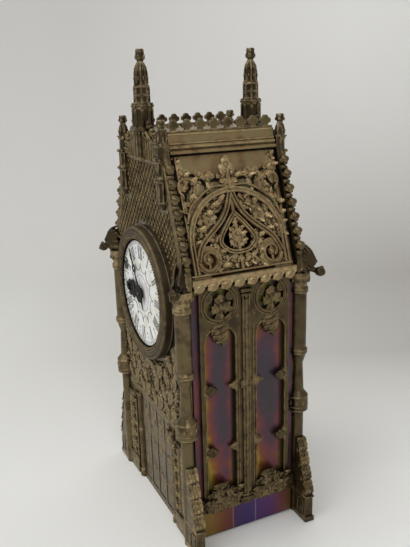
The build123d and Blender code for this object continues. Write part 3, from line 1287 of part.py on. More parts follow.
with BuildPart() as ratchet_wheel:
    saw = []
    for tooth in range(RATCHET_TEETH):
        start = 2 * math.pi * tooth / RATCHET_TEETH
        pitch = 2 * math.pi / RATCHET_TEETH
        for radius, share in ((RATCHET_R, 0.0), (RATCHET_R * 0.85, 0.12)):
            saw.append((radius * math.cos(start + share * pitch), radius * math.sin(start + share * pitch)))
    with BuildSketch(facing_at(-(RATCHET_Y - RATCHET_T), BARREL_AT)):
        Polygon(*saw, align=None)
        Circle(BARREL_ARBOR_R, mode=Mode.SUBTRACT)
    extrude(amount=RATCHET_T)
save(ratchet_wheel, "ratchet_wheel")

with BuildPart() as click:
    tip = polar((0, 0), CLICK_AT - RATCHET_R - CLICK_GAP - 0.3, CLICK_DEG + 180)
    tail = polar((0, 0), 4.2, CLICK_DEG + 70)
    with BuildSketch(facing_at(-(RATCHET_Y - RATCHET_T), CLICK_PIVOT)):
        Circle(3 * PIVOT_R)
        with BuildLine():
            Line((0, 0), tip)
        trace(line_width=0.9)
        with BuildLine():
            Line((0, 0), tail)
        trace(line_width=1.4)
        Circle(PIVOT_HOLE_R, mode=Mode.SUBTRACT)
    extrude(amount=RATCHET_T)
save(click, "click")

with BuildPart() as click_spring:
    root = polar(CLICK_PIVOT, 7.5, CLICK_DEG + 15)
    rest = polar(CLICK_PIVOT, 4.0, CLICK_DEG + 54)
    with BuildSketch(facing(-(BACK_PLATE_BACK - RATCHET_T))):
        with Locations(root):
            Circle(1.3)
        with BuildLine():
            Line(root, rest)
        trace(line_width=0.5)
    extrude(amount=RATCHET_T)
save(click_spring, "click_spring")

with BuildPart() as winding_key:
    with BuildSketch(facing_at(KEY_Y + KNOB_T, BARREL_AT)):
        Circle(KEY_HUB_R)
        Circle(BARREL_ARBOR_R, mode=Mode.SUBTRACT)
    extrude(amount=KNOB_T)
    with BuildSketch(facing_at(KEY_Y + KNOB_T + KEY_T, BARREL_AT)):
        Circle(KEY_HUB_R)
    extrude(amount=KEY_T)
    wing_r = KEY_SPAN * 0.26
    with BuildSketch(Plane(origin=(BARREL_AT[0], KEY_Y + KNOB_T + KEY_T, BARREL_AT[1]),
                           x_dir=(1, 0, 0), z_dir=(0, 0, 1))):
        for turn in (-1, 1):
            with Locations((turn * (KEY_SPAN / 2 - wing_r), wing_r * 0.8)):
                Circle(wing_r)
                Circle(wing_r * 0.45, mode=Mode.SUBTRACT)
        with Locations((0, wing_r * 0.4)):
            Rectangle(KEY_SPAN * 0.3, wing_r * 0.8)
        with Locations((0, -KEY_T)):
            Rectangle(KEY_SPAN, 2 * KEY_T, mode=Mode.SUBTRACT)
    extrude(amount=KEY_T / 2, both=True)
save(winding_key, "winding_key")


# Motion work and hands

CANNON_REAR = FRONT_PLATE_FACE + SEAT_GAP
CANNON_L = 1.7
MINUTE_WHEEL_REAR = CANNON_REAR + 0.3
HOUR_WHEEL_REAR = MINUTE_WHEEL_REAR + WHEEL_T + 1.0
HOUR_HAND_Y = DRUM_FRONT_Y + 0.5
MINUTE_HAND_Y = HOUR_HAND_Y + HAND_T + 0.3
CANNON_R = CENTRE_ARBOR_R + PIPE_WALL
HOUR_PIPE_BORE = CANNON_R + PIVOT_GAP
HOUR_PIPE_R = HOUR_PIPE_BORE + PIPE_WALL
NUT_HAND_T = 0.8

with BuildPart() as centre_arbor:
    with BuildSketch(facing_at(KEY_Y + KNOB_T, CENTRE_AT)):
        Circle(CENTRE_ARBOR_R)
    extrude(amount=KEY_Y + KNOB_T + MINUTE_HAND_Y + HAND_T + NUT_HAND_T - FIT_GAP)
save(centre_arbor, "centre_arbor")

with BuildPart() as cannon_pinion:
    with BuildSketch(facing_at(-CANNON_REAR, CENTRE_AT)):
        Polygon(*pinion_leaves(CANNON_LEAVES, MOTION_MODULE, 0.0), align=None)
        Circle(CENTRE_ARBOR_R, mode=Mode.SUBTRACT)
    extrude(amount=CANNON_L)
    with BuildSketch(facing_at(-CANNON_REAR, CENTRE_AT)):
        Circle(CANNON_R)
        Circle(CENTRE_ARBOR_R, mode=Mode.SUBTRACT)
    extrude(amount=MINUTE_HAND_Y - CANNON_REAR)
save(cannon_pinion, "cannon_pinion")

MINUTE_PHASE = mate_phase(MINUTE_WHEEL_DEG, 0.0, CANNON_LEAVES, MINUTE_TEETH)
HOUR_PHASE = mate_phase(MINUTE_WHEEL_DEG + 180.0, 0.0, MINUTE_LEAVES, HOUR_TEETH)

with BuildPart() as minute_wheel:
    with BuildSketch(facing_at(-MINUTE_WHEEL_REAR, MINUTE_AT)):
        Polygon(*wheel_teeth(MINUTE_TEETH, MOTION_MODULE, MINUTE_PHASE), align=None)
    extrude(amount=WHEEL_T)
    with BuildSketch(facing_at(-MINUTE_WHEEL_REAR, MINUTE_AT)):
        Polygon(*pinion_leaves(MINUTE_LEAVES, HOUR_MODULE, 0.0), align=None)
    extrude(amount=HOUR_WHEEL_REAR + WHEEL_T + SEAT_GAP - MINUTE_WHEEL_REAR)
    with BuildSketch(facing_at(-MINUTE_WHEEL_REAR, MINUTE_AT)):
        Circle(PIVOT_HOLE_R)
    extrude(amount=MOTION_GAP, mode=Mode.SUBTRACT)
save(minute_wheel, "minute_wheel")

with BuildPart() as hour_wheel:
    with BuildSketch(facing_at(-HOUR_WHEEL_REAR, CENTRE_AT)):
        Polygon(*wheel_teeth(HOUR_TEETH, HOUR_MODULE, HOUR_PHASE), align=None)
    extrude(amount=WHEEL_T)
    with BuildSketch(facing_at(-HOUR_WHEEL_REAR, CENTRE_AT)):
        Circle(HOUR_PIPE_R)
    extrude(amount=HOUR_HAND_Y + HAND_T - HOUR_WHEEL_REAR)
    with BuildSketch(facing_at(-HOUR_WHEEL_REAR, CENTRE_AT)):
        Circle(HOUR_PIPE_BORE)
    extrude(amount=2 * MOTION_GAP, mode=Mode.SUBTRACT)
save(hour_wheel, "hour_wheel")


def hand_plane(y, degrees):
    """Plane of a hand: own y points along it, for an angle clockwise from twelve."""
    turn = math.radians(degrees)
    along = (math.sin(turn), 0, math.cos(turn))
    return Plane(origin=(0, -y, DIAL_Z), x_dir=(along[2], 0, -along[0]), z_dir=(0, -1, 0))


with BuildPart() as hour_hand:
    with BuildSketch(hand_plane(HOUR_HAND_Y, HOUR_HAND_DEG)):
        Circle(HOUR_PIPE_R + 1.0)
        with Locations((0, HOUR_HAND_L * 0.35)):
            Rectangle(1.6, HOUR_HAND_L * 0.5)
        lobe = HOUR_HAND_L * 0.15
        side_lobe = lobe * 0.86
        with Locations((side_lobe, HOUR_HAND_L * 0.63), (-side_lobe, HOUR_HAND_L * 0.63), (0, HOUR_HAND_L * 0.80)):
            Circle(lobe)
        Polygon((-1.0, HOUR_HAND_L * 0.86), (1.0, HOUR_HAND_L * 0.86), (0, HOUR_HAND_L), align=None)
        Circle(HOUR_PIPE_R, mode=Mode.SUBTRACT)
    extrude(amount=HAND_T)
save(hour_hand, "hour_hand")

with BuildPart() as minute_hand:
    with BuildSketch(hand_plane(MINUTE_HAND_Y, MINUTE_HAND_DEG)):
        Circle(CANNON_R + 1.0)
        Polygon((0, -MINUTE_HAND_L * 0.36), (2.2, 0), (0, MINUTE_HAND_L * 0.5), (-2.2, 0), align=None)
        with Locations((0, MINUTE_HAND_L * 0.55)):
            Circle(2.2)
            Circle(1.1, mode=Mode.SUBTRACT)
        with Locations((0, MINUTE_HAND_L * 0.72)):
            Rectangle(1.0, MINUTE_HAND_L * 0.22)
        Polygon((-1.1, MINUTE_HAND_L * 0.80), (1.1, MINUTE_HAND_L * 0.80), (0, MINUTE_HAND_L), align=None)
        Circle(CENTRE_ARBOR_R, mode=Mode.SUBTRACT)
    extrude(amount=HAND_T)
save(minute_hand, "minute_hand")

with BuildPart() as hand_nut:
    with BuildSketch(facing_at(-(MINUTE_HAND_Y + HAND_T), CENTRE_AT)):
        Circle(1.7)
        Circle(CENTRE_ARBOR_R, mode=Mode.SUBTRACT)
    extrude(amount=NUT_HAND_T)
save(hand_nut, "hand_nut")

with BuildPart() as set_knob:
    with BuildSketch(facing_at(KEY_Y + KNOB_T, CENTRE_AT)):
        Circle(KNOB_R)
        with PolarLocations(KNOB_R, 16):
            Circle(KNOB_R * 0.09, mode=Mode.SUBTRACT)
        Circle(CENTRE_ARBOR_R, mode=Mode.SUBTRACT)
    extrude(amount=KNOB_T)
save(set_knob, "set_knob")


# Lever, balance and hairspring

with BuildPart() as pallet_lever:
    to_wheel = LEVER_DEG + 180
    with BuildSketch(facing_at(-ESCAPE_WHEEL_Y, LEVER_PIVOT)):
        Circle(2 * PIVOT_R)
        for turn in (-1, 1):
            with BuildLine():
                Line((0, 0), polar((0, 0), PALLET_ARM, to_wheel + turn * PALLET_DEG))
            trace(line_width=0.9)
        with BuildLine():
            Line((0, 0), polar((0, 0), BALANCE_AT * 0.62, BALANCE_DEG))
        trace(line_width=0.8)
        with Locations(polar((0, 0), BALANCE_AT * 0.62, BALANCE_DEG)):
            Circle(0.9)
    extrude(amount=WHEEL_T)
    arbor_between(PIVOT_R, LEVER_PIVOT)
save(pallet_lever, "pallet_lever")

COCK_Y = BACK_PLATE_BACK - PLATE_T

with BuildPart() as balance_wheel:
    with BuildSketch(facing_at(-BALANCE_Y, BALANCE_PIVOT)):
        Circle(BALANCE_R)
        disc_spokes(BALANCE_R - BALANCE_RIM, 2.0, 3, 1.2)
    extrude(amount=WHEEL_T * 1.5)
    with BuildSketch(facing_at(-(COCK_Y + FIT_GAP), BALANCE_PIVOT)):
        Circle(PIVOT_R)
    extrude(amount=FRONT_PLATE_FACE - COCK_Y - 2 * FIT_GAP)
    with BuildSketch(facing_at(-(BACK_PLATE_BACK + SEAT_GAP), BALANCE_PIVOT)):
        Circle(PIVOT_R * 1.6)
    extrude(amount=FRONT_PLATE_BACK - END_SHAKE - BACK_PLATE_BACK - SEAT_GAP)
save(balance_wheel, "balance_wheel")

HAIR_START = PIVOT_R * 1.6 + HAIR_T / 2 + 0.3

with BuildPart() as hairspring:
    with BuildSketch(facing_at(-HAIR_Y, BALANCE_PIVOT)):
        spiral_strip(HAIR_START, HAIR_PITCH, HAIR_HALF_TURNS, HAIR_T)
    extrude(amount=WHEEL_T)
    # stud at the outer end, pinned into the back plate
    outer = HAIR_START + (HAIR_HALF_TURNS - 1) * HAIR_PITCH / 2
    with BuildSketch(facing_at(-BACK_PLATE_FACE, (BALANCE_PIVOT[0] - outer, BALANCE_PIVOT[1]))):
        Circle(2 * HAIR_T)
    extrude(amount=HAIR_Y + WHEEL_T - BACK_PLATE_FACE)
save(hairspring, "hairspring")

with BuildPart() as balance_cock:
    foot = polar(BALANCE_PIVOT, 2 * COCK_W, 60.0)
    with BuildSketch(facing(-COCK_Y)):
        with Locations(foot):
            Circle(COCK_W * 0.7)
        with Locations(BALANCE_PIVOT):
            Circle(COCK_W / 2)
        with BuildLine():
            Line(foot, BALANCE_PIVOT)
        trace(line_width=COCK_W * 0.8)
        with Locations(BALANCE_PIVOT):
            Circle(PIVOT_HOLE_R, mode=Mode.SUBTRACT)
    extrude(amount=PLATE_T)
save(balance_cock, "balance_cock")


def least_gap(pitch, thick):
    """Least space between neighbouring turns of a spiral strip."""
    return pitch - thick


print(f"mainspring least gap {least_gap(SPRING_PITCH, SPRING_T):.2f} mm")
print(f"hairspring least gap {least_gap(HAIR_PITCH, HAIR_T):.2f} mm")
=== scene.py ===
"""Gothic cathedral table timepiece: cast ornament, finishes, studio and camera around its CAD frame.

Ornament is modelled in local frames in millimetres and is then set in the row frame in metres.
"""
import logging
import math
import random
from dataclasses import dataclass
from enum import IntEnum
from typing import Iterable, Sequence

import bmesh
import bpy
from mathutils import Matrix, Vector
from mathutils.geometry import interpolate_bezier


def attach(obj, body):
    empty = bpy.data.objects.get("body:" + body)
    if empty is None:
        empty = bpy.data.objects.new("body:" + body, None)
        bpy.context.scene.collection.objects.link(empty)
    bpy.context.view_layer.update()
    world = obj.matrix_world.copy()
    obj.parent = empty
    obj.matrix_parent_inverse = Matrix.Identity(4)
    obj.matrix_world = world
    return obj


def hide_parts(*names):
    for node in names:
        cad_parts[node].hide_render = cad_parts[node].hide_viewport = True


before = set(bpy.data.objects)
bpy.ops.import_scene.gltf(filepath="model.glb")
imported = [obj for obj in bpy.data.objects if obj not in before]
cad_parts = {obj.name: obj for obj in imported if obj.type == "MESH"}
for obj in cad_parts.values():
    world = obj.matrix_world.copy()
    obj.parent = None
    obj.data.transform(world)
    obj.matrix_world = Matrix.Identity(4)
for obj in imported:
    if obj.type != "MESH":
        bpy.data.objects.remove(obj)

LOG = logging.getLogger("timepiece")
MM = 0.001
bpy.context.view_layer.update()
Tone = tuple[int, int, int]
Point = Sequence[float]
Rows = tuple[tuple[float, ...], ...]
Stops = tuple[tuple[float, Tone], ...]
Socket = bpy.types.NodeSocket

# Sizes shared with the CAD solids, in millimetres
WALL_FACE = 31.5
COLUMN_AT = (44.6, 32.0)
COLUMN_TOP = 137.5
PINNACLE_X = 26.5
DIAL_Z = 124.3
DOOR_R = 29.0
TRACERY_FACE = 47.2
EAVE = (46.4, 142.0)
ROOF_TOP = (26.0, 197.5)
DECK_TOP = 207.0
SPIRE_SEAT = 207.2

# Main leaves under the dial, one half of them: x, z and turn in degrees
MAIN_LEAVES = (
    (4.6, 66.8, 35.0), (13.4, 66.4, -40.0), (22.4, 66.8, 35.0), (31.2, 66.6, -40.0), (9.0, 75.6, -30.0),
    (18.4, 75.4, 40.0), (27.8, 75.8, -30.0), (4.8, 82.6, 55.0), (14.0, 84.4, -45.0), (23.6, 84.8, 30.0),
    (33.0, 85.0, -35.0), (28.0, 94.2, 40.0), (36.0, 94.6, -15.0), (36.0, 103.0, -28.0),
)

# Other constants: both ways from the middle, the view's azimuth, the range in which most of a noise lies
BOTH = (-1, 1)
FULL_TURN = 360
VIEW_AZIMUTH = 64.983
NOISE_LOW = 0.3
NOISE_HIGH = 0.7
SHARP_ANGLE = math.radians(40)


class Edge(IntEnum):
    """A side of the case, whose value is its direction along an axis."""

    @property
    def word(self) -> str:
        """Name as it stands in the names of pieces."""
        return self.name.lower()


class Side(Edge):
    """Which end wall a piece belongs to."""

    FRONT = -1
    REAR = 1


class Flank(Edge):
    """Which long side a piece belongs to."""

    LEFT = -1
    RIGHT = 1


# Local frames

def local_frame(origin: Point, x_axis: Point, y_axis: Point, z_axis: Point) -> Matrix:
    """Build the matrix that takes local millimetres to the row frame.

    Args:
        origin: Place of the local origin, in millimetres.
        x_axis: Direction of the local x axis.
        y_axis: Direction of the local y axis.
        z_axis: Direction of the local z axis.

    Returns:
        The matrix, which ends in metres.
    """
    turn = Matrix((x_axis, y_axis, z_axis)).transposed().to_4x4()
    return Matrix.Scale(MM, 4) @ Matrix.Translation(Vector(origin)) @ turn


def wall_frame(side: Side, face: float = WALL_FACE) -> Matrix:
    """Frame on an end wall: x along the wall, y up, z outwards."""
    return local_frame((0, side * face, 0), (-side, 0, 0), (0, 0, 1), (0, side, 0))


def flank_frame(flank: Flank, face: float = TRACERY_FACE) -> Matrix:
    """Frame on a long side: x along the wall, y up, z outwards."""
    return local_frame((flank * face, 0, 0), (0, flank, 0), (0, 0, 1), (flank, 0, 0))


def roof_frame(flank: Flank) -> Matrix:
    """Frame on a roof slope: x along the eave, y up the slope, z outwards.

    Args:
        flank: Side of the slope.

    Returns:
        The matrix, which ends in metres.
    """
    run = EAVE[0] - ROOF_TOP[0]
    rise = ROOF_TOP[1] - EAVE[1]
    length = math.hypot(run, rise)
    up = (-flank * run / length, 0, rise / length)
    out = (flank * rise / length, 0, run / length)
    return local_frame((flank * EAVE[0], 0, EAVE[1]), (0, flank, 0), up, out)


def upright_frame(x: float, y: float, z: float, degrees: float = 0.0) -> Matrix:
    """Frame that stands upright at a point and is turned about the vertical."""
    cos, sin = math.cos(math.radians(degrees)), math.sin(math.radians(degrees))
    return local_frame((x, y, z), (cos, sin, 0), (-sin, cos, 0), (0, 0, 1))


def posed(at: Point, size: object = 1.0, spin: float = 0.0, tilt: float = 0.0, axis: str = "X") -> Matrix:
    """Build the matrix that sizes, tilts, spins and places a shape, in that order.

    Args:
        at: Place of the shape's own origin.
        size: One scale, or three.
        spin: Turn about the local z, in degrees.
        tilt: Turn about its own axis before the spin, in degrees.
        axis: Axis of the tilt.

    Returns:
        The matrix.
    """
    scale = (size, size, size) if isinstance(size, (int, float)) else size
    turn = Matrix.Rotation(math.radians(spin), 4, "Z") @ Matrix.Rotation(math.radians(tilt), 4, axis)
    return Matrix.Translation(Vector(at).to_3d()) @ turn @ Matrix.Diagonal((*scale, 1.0))


# Points and lines

def polar(radius: float, turn: float, z: float, centre_y: float = 0.0) -> tuple[float, float, float]:
    """Give the point at an angle in radians round a centre on the local y axis."""
    return (radius * math.cos(turn), centre_y + radius * math.sin(turn), z)


def round_angles(count: int, start: float = 0.0) -> list[float]:
    """Share out a full turn from a first angle in degrees, as angles in radians."""
    return [math.radians(FULL_TURN / count * step + start) for step in range(count)]


def flipped(points: Iterable[Point], way: int) -> list[Point]:
    """Set points on one side of the middle, left (-1) or right (1)."""
    return [(way * x, y) for x, y in points]


def mirrored(line: list[Vector], x: float = 0.0) -> list[Vector]:
    """Add the mirror image of a line that ends on the upright at x."""
    return line + [Vector((2 * x - point.x, point.y, 0)) for point in reversed(line[:-1])]


def flowing(points: Iterable[Point], steps: int = 7) -> list[Vector]:
    """Run a smooth line through a few points.

    Args:
        points: Points that the line passes through.
        steps: Points on each span of the line.

    Returns:
        The points of the smooth line.
    """
    knots = [Vector(point).to_3d() for point in points]
    line: list[Vector] = []
    for index in range(len(knots) - 1):
        start, end = knots[index], knots[index + 1]
        before = knots[max(index - 1, 0)]
        after = knots[min(index + 2, len(knots) - 1)]
        handles = (start + (end - before) / 6, end - (after - start) / 6)
        line += interpolate_bezier(start, *handles, end, steps)[:-1]
    return line + [knots[-1]]


def arc(centre: Point, radius: float, start: float, end: float, steps: int = 16) -> list[Vector]:
    """List points along an arc in the local plane.

    Args:
        centre: Centre of the arc.
        radius: Radius of the arc.
        start: First angle in degrees.
        end: Last angle in degrees.
        steps: Number of spans.

    Returns:
        The points of the arc, ends included.
    """
    turns = [math.radians(start + (end - start) * step / steps) for step in range(steps + 1)]
    return [Vector((centre[0] + radius * math.cos(t), centre[1] + radius * math.sin(t), 0)) for t in turns]


def beside(line: Sequence[Vector], distance: float) -> list[Vector]:
    """Shift a line sideways in the local plane.

    Args:
        line: Points of the line.
        distance: Shift to the left of its run.

    Returns:
        The shifted points.
    """
    shifted = []
    for index, point in enumerate(line):
        run = line[min(index + 1, len(line) - 1)] - line[max(index - 1, 0)]
        shifted.append(point + Vector((-run.y, run.x, 0)).normalized() * distance)
    return shifted


# Finishes

def tone(colour: Tone) -> tuple[float, float, float, float]:
    """Turn a colour from 0 to 255 into the linear colour that a node takes.

    Args:
        colour: Red, green and blue.

    Returns:
        The linear colour with full alpha.
    """
    parts = [part / 255 for part in colour]
    linear = [p / 12.92 if p <= 0.04045 else ((p + 0.055) / 1.055) ** 2.4 for p in parts]
    return (linear[0], linear[1], linear[2], 1.0)


class NodePad:
    """Short hand for laying out the nodes of one finish."""

    def __init__(self, name: str) -> None:
        """Start a material with a shader, an output and object coordinates.

        Args:
            name: Name of the material.
        """
        self.material = bpy.data.materials.new(name)
        self.material.use_nodes = True
        self.tree = self.material.node_tree
        self.tree.nodes.clear()
        output = self.tree.nodes.new("ShaderNodeOutputMaterial")
        self.shader = self.tree.nodes.new("ShaderNodeBsdfPrincipled")
        self.feed(output.inputs["Surface"], self.shader.outputs["BSDF"])
        self.coords = self.add("ShaderNodeTexCoord", "Object", {})

    def feed(self, target: Socket, value: object) -> None:
        """Give a socket either a link or a plain value.

        Args:
            target: Socket that is fed.
            value: Another socket, or a plain value.
        """
        if isinstance(value, Socket):
            self.tree.links.new(value, target)
        else:
            target.default_value = value

    def add(self, kind: str, output: object, inputs: dict[object, object], **settings: object) -> Socket:
        """Add one node, set it, feed its inputs and give one of its outputs.

        Args:
            kind: Kind of the node.
            output: Name or number of the output.
            inputs: Links or plain values by the name or number of the input.
            settings: Values of the node's own settings.

        Returns:
            The socket of the output.
        """
        node = self.tree.nodes.new(kind)
        for name, value in settings.items():
            setattr(node, name, value)
        for name, value in inputs.items():
            self.feed(node.inputs[name], value)
        return node.outputs[output]

    def noise(self, scale: float, detail: float = 3.0, stretch: Point = (1, 1, 1)) -> Socket:
        """Add a noise pattern of a scale per metre and octaves of detail, on stretched coordinates."""
        place = self.add("ShaderNodeMapping", "Vector", {"Vector": self.coords, "Scale": stretch})
        return self.add("ShaderNodeTexNoise", "Fac", {"Vector": place, "Scale": scale, "Detail": detail})

    def ramp(self, factor: Socket, stops: Sequence[tuple[float, Point]]) -> Socket:
        """Add a colour ramp.

        Args:
            factor: Socket that drives the ramp.
            stops: Positions with their linear colours.

        Returns:
            The socket with the colour.
        """
        colours = self.add("ShaderNodeValToRGB", "Color", {"Fac": factor})
        elements = colours.node.color_ramp.elements
        while len(elements) < len(stops):
            elements.new(0.5)
        for element, (position, colour) in zip(elements, stops):
            element.position = position
            element.color = colour
        return colours

    def tones(self, factor: Socket, stops: Iterable[tuple[float, Tone]]) -> Socket:
        """Add a ramp of colours from 0 to 255."""
        return self.ramp(factor, [(position, tone(shade)) for position, shade in stops])

    def levels(self, factor: Socket, stops: Iterable[tuple[float, float]]) -> Socket:
        """Add a ramp of plain values."""
        return self.ramp(factor, [(position, (value, value, value, 1.0)) for position, value in stops])

    def mix(self, factor: object, low: object, high: object) -> Socket:
        """Mix two colours by a factor."""
        return self.add("ShaderNodeMix", 2, {0: factor, 6: low, 7: high}, data_type="RGBA")

    def maths(self, operation: str, first: object, second: object) -> Socket:
        """Work out a value from two others."""
        return self.add("ShaderNodeMath", 0, {0: first, 1: second}, operation=operation)

    def vector(self, operation: str, other: Point) -> Socket:
        """Work out a value from the object coordinates and a fixed vector."""
        return self.add("ShaderNodeVectorMath", "Value", {0: self.coords, 1: other}, operation=operation)

    def spread(
        self, source: Socket, first: float, last: float, low: float = NOISE_LOW, high: float = NOISE_HIGH
    ) -> Socket:
        """Map a value from the range of low to high to the range of first to last."""
        ends = {"From Min": low, "From Max": high, "To Min": first, "To Max": last}
        return self.add("ShaderNodeMapRange", "Result", {"Value": source, **ends})

    def closeness(self, distance: float, inside: bool) -> Socket:
        """Measure how open a point is within a distance, outwards for hollows or inside for edges."""
        return self.add("ShaderNodeAmbientOcclusion", "AO", {"Distance": distance}, samples=6, inside=inside)

    def bump(self, height: Socket, strength: float, distance: float) -> None:
        """Raise the surface by a pattern of a strength and of a height in metres."""
        relief = {"Strength": strength, "Distance": distance, "Height": height}
        self.feed(self.shader.inputs["Normal"], self.add("ShaderNodeBump", "Normal", relief))

    def axis(self, name: str) -> Socket:
        """Give the object coordinate X, Y or Z."""
        return self.add("ShaderNodeSeparateXYZ", name, {"Vector": self.coords})

    def surface(self, colour: object, rough: object, metallic: float = 0.0) -> None:
        """Set what the shader shows.

        Args:
            colour: Base colour.
            rough: Roughness.
            metallic: Share of metal.
        """
        for name, value in (("Base Color", colour), ("Roughness", rough), ("Metallic", metallic)):
            self.feed(self.shader.inputs[name], value)


@dataclass(frozen=True)
class Finish:
    """A named material that is laid out once."""

    name: str

    def material(self) -> bpy.types.Material:
        """Give the material, and lay it out if it is new.

        Returns:
            The material.
        """
        known = bpy.data.materials.get(self.name)
        if known:
            return known
        pad = NodePad(self.name)
        self.paint(pad)
        return pad.material

    def paint(self, pad: NodePad) -> None:
        """Lay out the nodes of this finish on a pad."""
        raise NotImplementedError


@dataclass(frozen=True)
class CastBronze(Finish):
    """Patinated cast bronze, dark with patina and painted shade in its hollows and rubbed on its edges."""

    body: Tone = (105, 89, 61)
    shade: Tone = (71, 59, 38)
    olive: Tone = (96, 87, 56)
    # hollow is the dark of patina and of painted shade in the hollows; hollow_reach, below, is how far it
    # reaches
    hollow: Tone = (34, 28, 18)
    rubbed: Tone = (172, 150, 108)
    metallic: float = 0.72
    hollow_reach: float = 0.0028
    rough: tuple[float, float] = (0.24, 0.46)
    edge_reach: float = 0.0008

    def paint(self, pad: NodePad) -> None:
        """Lay out the patina, the rubbed edges and the dark hollows, which hold patina and painted shade.

        Args:
            pad: Pad of this finish.
        """
        broad = pad.noise(130.0, 4.0)
        blotch = pad.noise(330.0, 4.0)
        grain = pad.noise(1900.0, 2.0)
        colour = pad.tones(broad, [(0.34, self.shade), (0.5, self.body), (0.66, self.olive)])
        edge = pad.levels(pad.closeness(self.edge_reach, True), [(0.35, 1.0), (0.85, 0.0)])
        worn = pad.maths("MULTIPLY", edge, pad.levels(blotch, [(0.36, 0.1), (0.62, 0.75)]))
        colour = pad.mix(worn, colour, tone(self.rubbed))
        # dark patina and painted shade in the hollows, found by occlusion
        hollow_shade = pad.levels(pad.closeness(self.hollow_reach, False), [(0.18, 0.95), (0.72, 0.0)])
        colour = pad.mix(hollow_shade, colour, tone(self.hollow))
        pad.surface(colour, pad.spread(blotch, *self.rough), self.metallic)
        pad.bump(pad.maths("ADD", pad.maths("MULTIPLY", grain, 0.35), blotch), 0.35, 0.0005)


@dataclass(frozen=True)
class HeatTint(Finish):
    """Thin metal sheet with the bands of colour that heat leaves on it."""

    flank: Flank
    half: float = 0.028
    height: float = 0.14
    # depth of the tint across the sheet and up it, as shares of its width and height
    across_depth: Rows = (
        (0.0, 0.3), (0.07, 0.34), (0.1, 0.72), (0.118, 0.6), (0.145, 0.4), (0.19, 0.22), (0.25, 0.04),
        (0.31, 0.1), (0.35, 0.34), (0.4, 0.42), (0.5, 0.5), (0.605, 0.62), (0.625, 0.38), (0.67, 0.1),
        (0.77, 0.0), (0.85, 0.3), (0.885, 0.56), (0.92, 0.4), (1.0, 0.28),
    )
    up_depth: Rows = (
        (0.17, 0.4), (0.24, 0.3), (0.34, 0.22), (0.46, 0.08), (0.6, 0.0), (0.74, 0.06), (0.8, 0.22),
    )
    lights: Rows = ((0.055, 0.0), (0.08, 1.0), (0.92, 1.0), (0.945, 0.0))
    roundels: Rows = ((0.83, 0.0), (0.85, 1.0), (0.97, 1.0), (0.985, 0.0))
    # where across the sheet the painted shadow beside the deep reveal of each light lies
    reveal_shadows: Rows = (
        (0.345, 0.0), (0.37, 0.88), (0.4, 0.88), (0.42, 0.0),
        (0.845, 0.0), (0.866, 0.75), (0.9, 0.75), (0.92, 0.0),
    )
    foot: Rows = ((0.11, 1.0), (0.125, 0.0))
    bands: Stops = (
        (0.0, (56, 51, 54)), (0.14, (62, 52, 60)), (0.28, (76, 50, 60)), (0.40, (98, 52, 60)),
        (0.52, (108, 60, 42)), (0.64, (126, 80, 34)), (0.78, (150, 116, 32)), (0.92, (112, 108, 28)),
        (1.0, (90, 92, 32)),
    )
    roundel_tones: Stops = (
        (0.36, (40, 34, 12)), (0.5, (84, 80, 22)), (0.64, (118, 106, 28)),
    )
    foot_bands: Stops = (
        (0.0, (116, 100, 36)), (0.14, (124, 96, 40)), (0.26, (112, 62, 38)), (0.36, (98, 50, 48)),
        (0.365, (150, 120, 110)), (0.375, (70, 44, 84)), (0.5, (62, 44, 96)), (0.6, (70, 46, 100)),
        (0.605, (140, 116, 130)), (0.615, (74, 44, 96)), (0.78, (84, 48, 96)), (0.9, (110, 58, 62)),
        (1.0, (112, 84, 40)),
    )

    def paint(self, pad: NodePad) -> None:
        """Lay out the bands, the ground of the roundels, the painted shadow beside the deep reveal of each
        light, the foot of the sheet and the painted shade in the hollows.

        Args:
            pad: Pad of this finish.
        """
        across = pad.spread(pad.axis("Y"), 0.0, 1.0, -self.half * self.flank, self.half * self.flank)
        up = pad.spread(pad.axis("Z"), 0.0, 1.0, 0.0, self.height)
        drift = pad.noise(42.0, 3.0, (1, 1, 0.5))
        cloud = pad.noise(150.0, 3.0)
        within = pad.levels(across, self.lights)
        rise = pad.maths("MULTIPLY", within, pad.levels(up, self.up_depth))
        depth = pad.maths("ADD", pad.levels(across, self.across_depth), rise)
        depth = pad.maths("ADD", depth, pad.spread(drift, -0.2, 0.2))
        depth = pad.maths("ADD", depth, pad.spread(cloud, -0.12, 0.12))
        colour = pad.tones(depth, self.bands)
        # yellow green ground of the roundels
        ground = pad.tones(cloud, self.roundel_tones)
        high = pad.maths("MULTIPLY", within, pad.levels(up, self.roundels))
        colour = pad.mix(high, colour, ground)
        # painted shadow beside the deep reveal of each light
        colour = pad.mix(pad.levels(across, self.reveal_shadows), colour, tone((22, 17, 14)))
        # the foot below the frame has bands of its own, with thin pale seams
        bands = pad.tones(across, self.foot_bands)
        colour = pad.mix(pad.levels(up, self.foot), colour, bands)
        # painted shade in the hollows next to the frame
        hollow_shade = pad.levels(pad.closeness(0.004, False), [(0.25, 0.85), (0.75, 0.0)])
        colour = pad.mix(hollow_shade, colour, tone((24, 18, 18)))
        pad.surface(colour, pad.spread(cloud, 0.3, 0.42), 0.5)
        pad.bump(pad.noise(90.0, 2.0), 0.15, 0.0006)


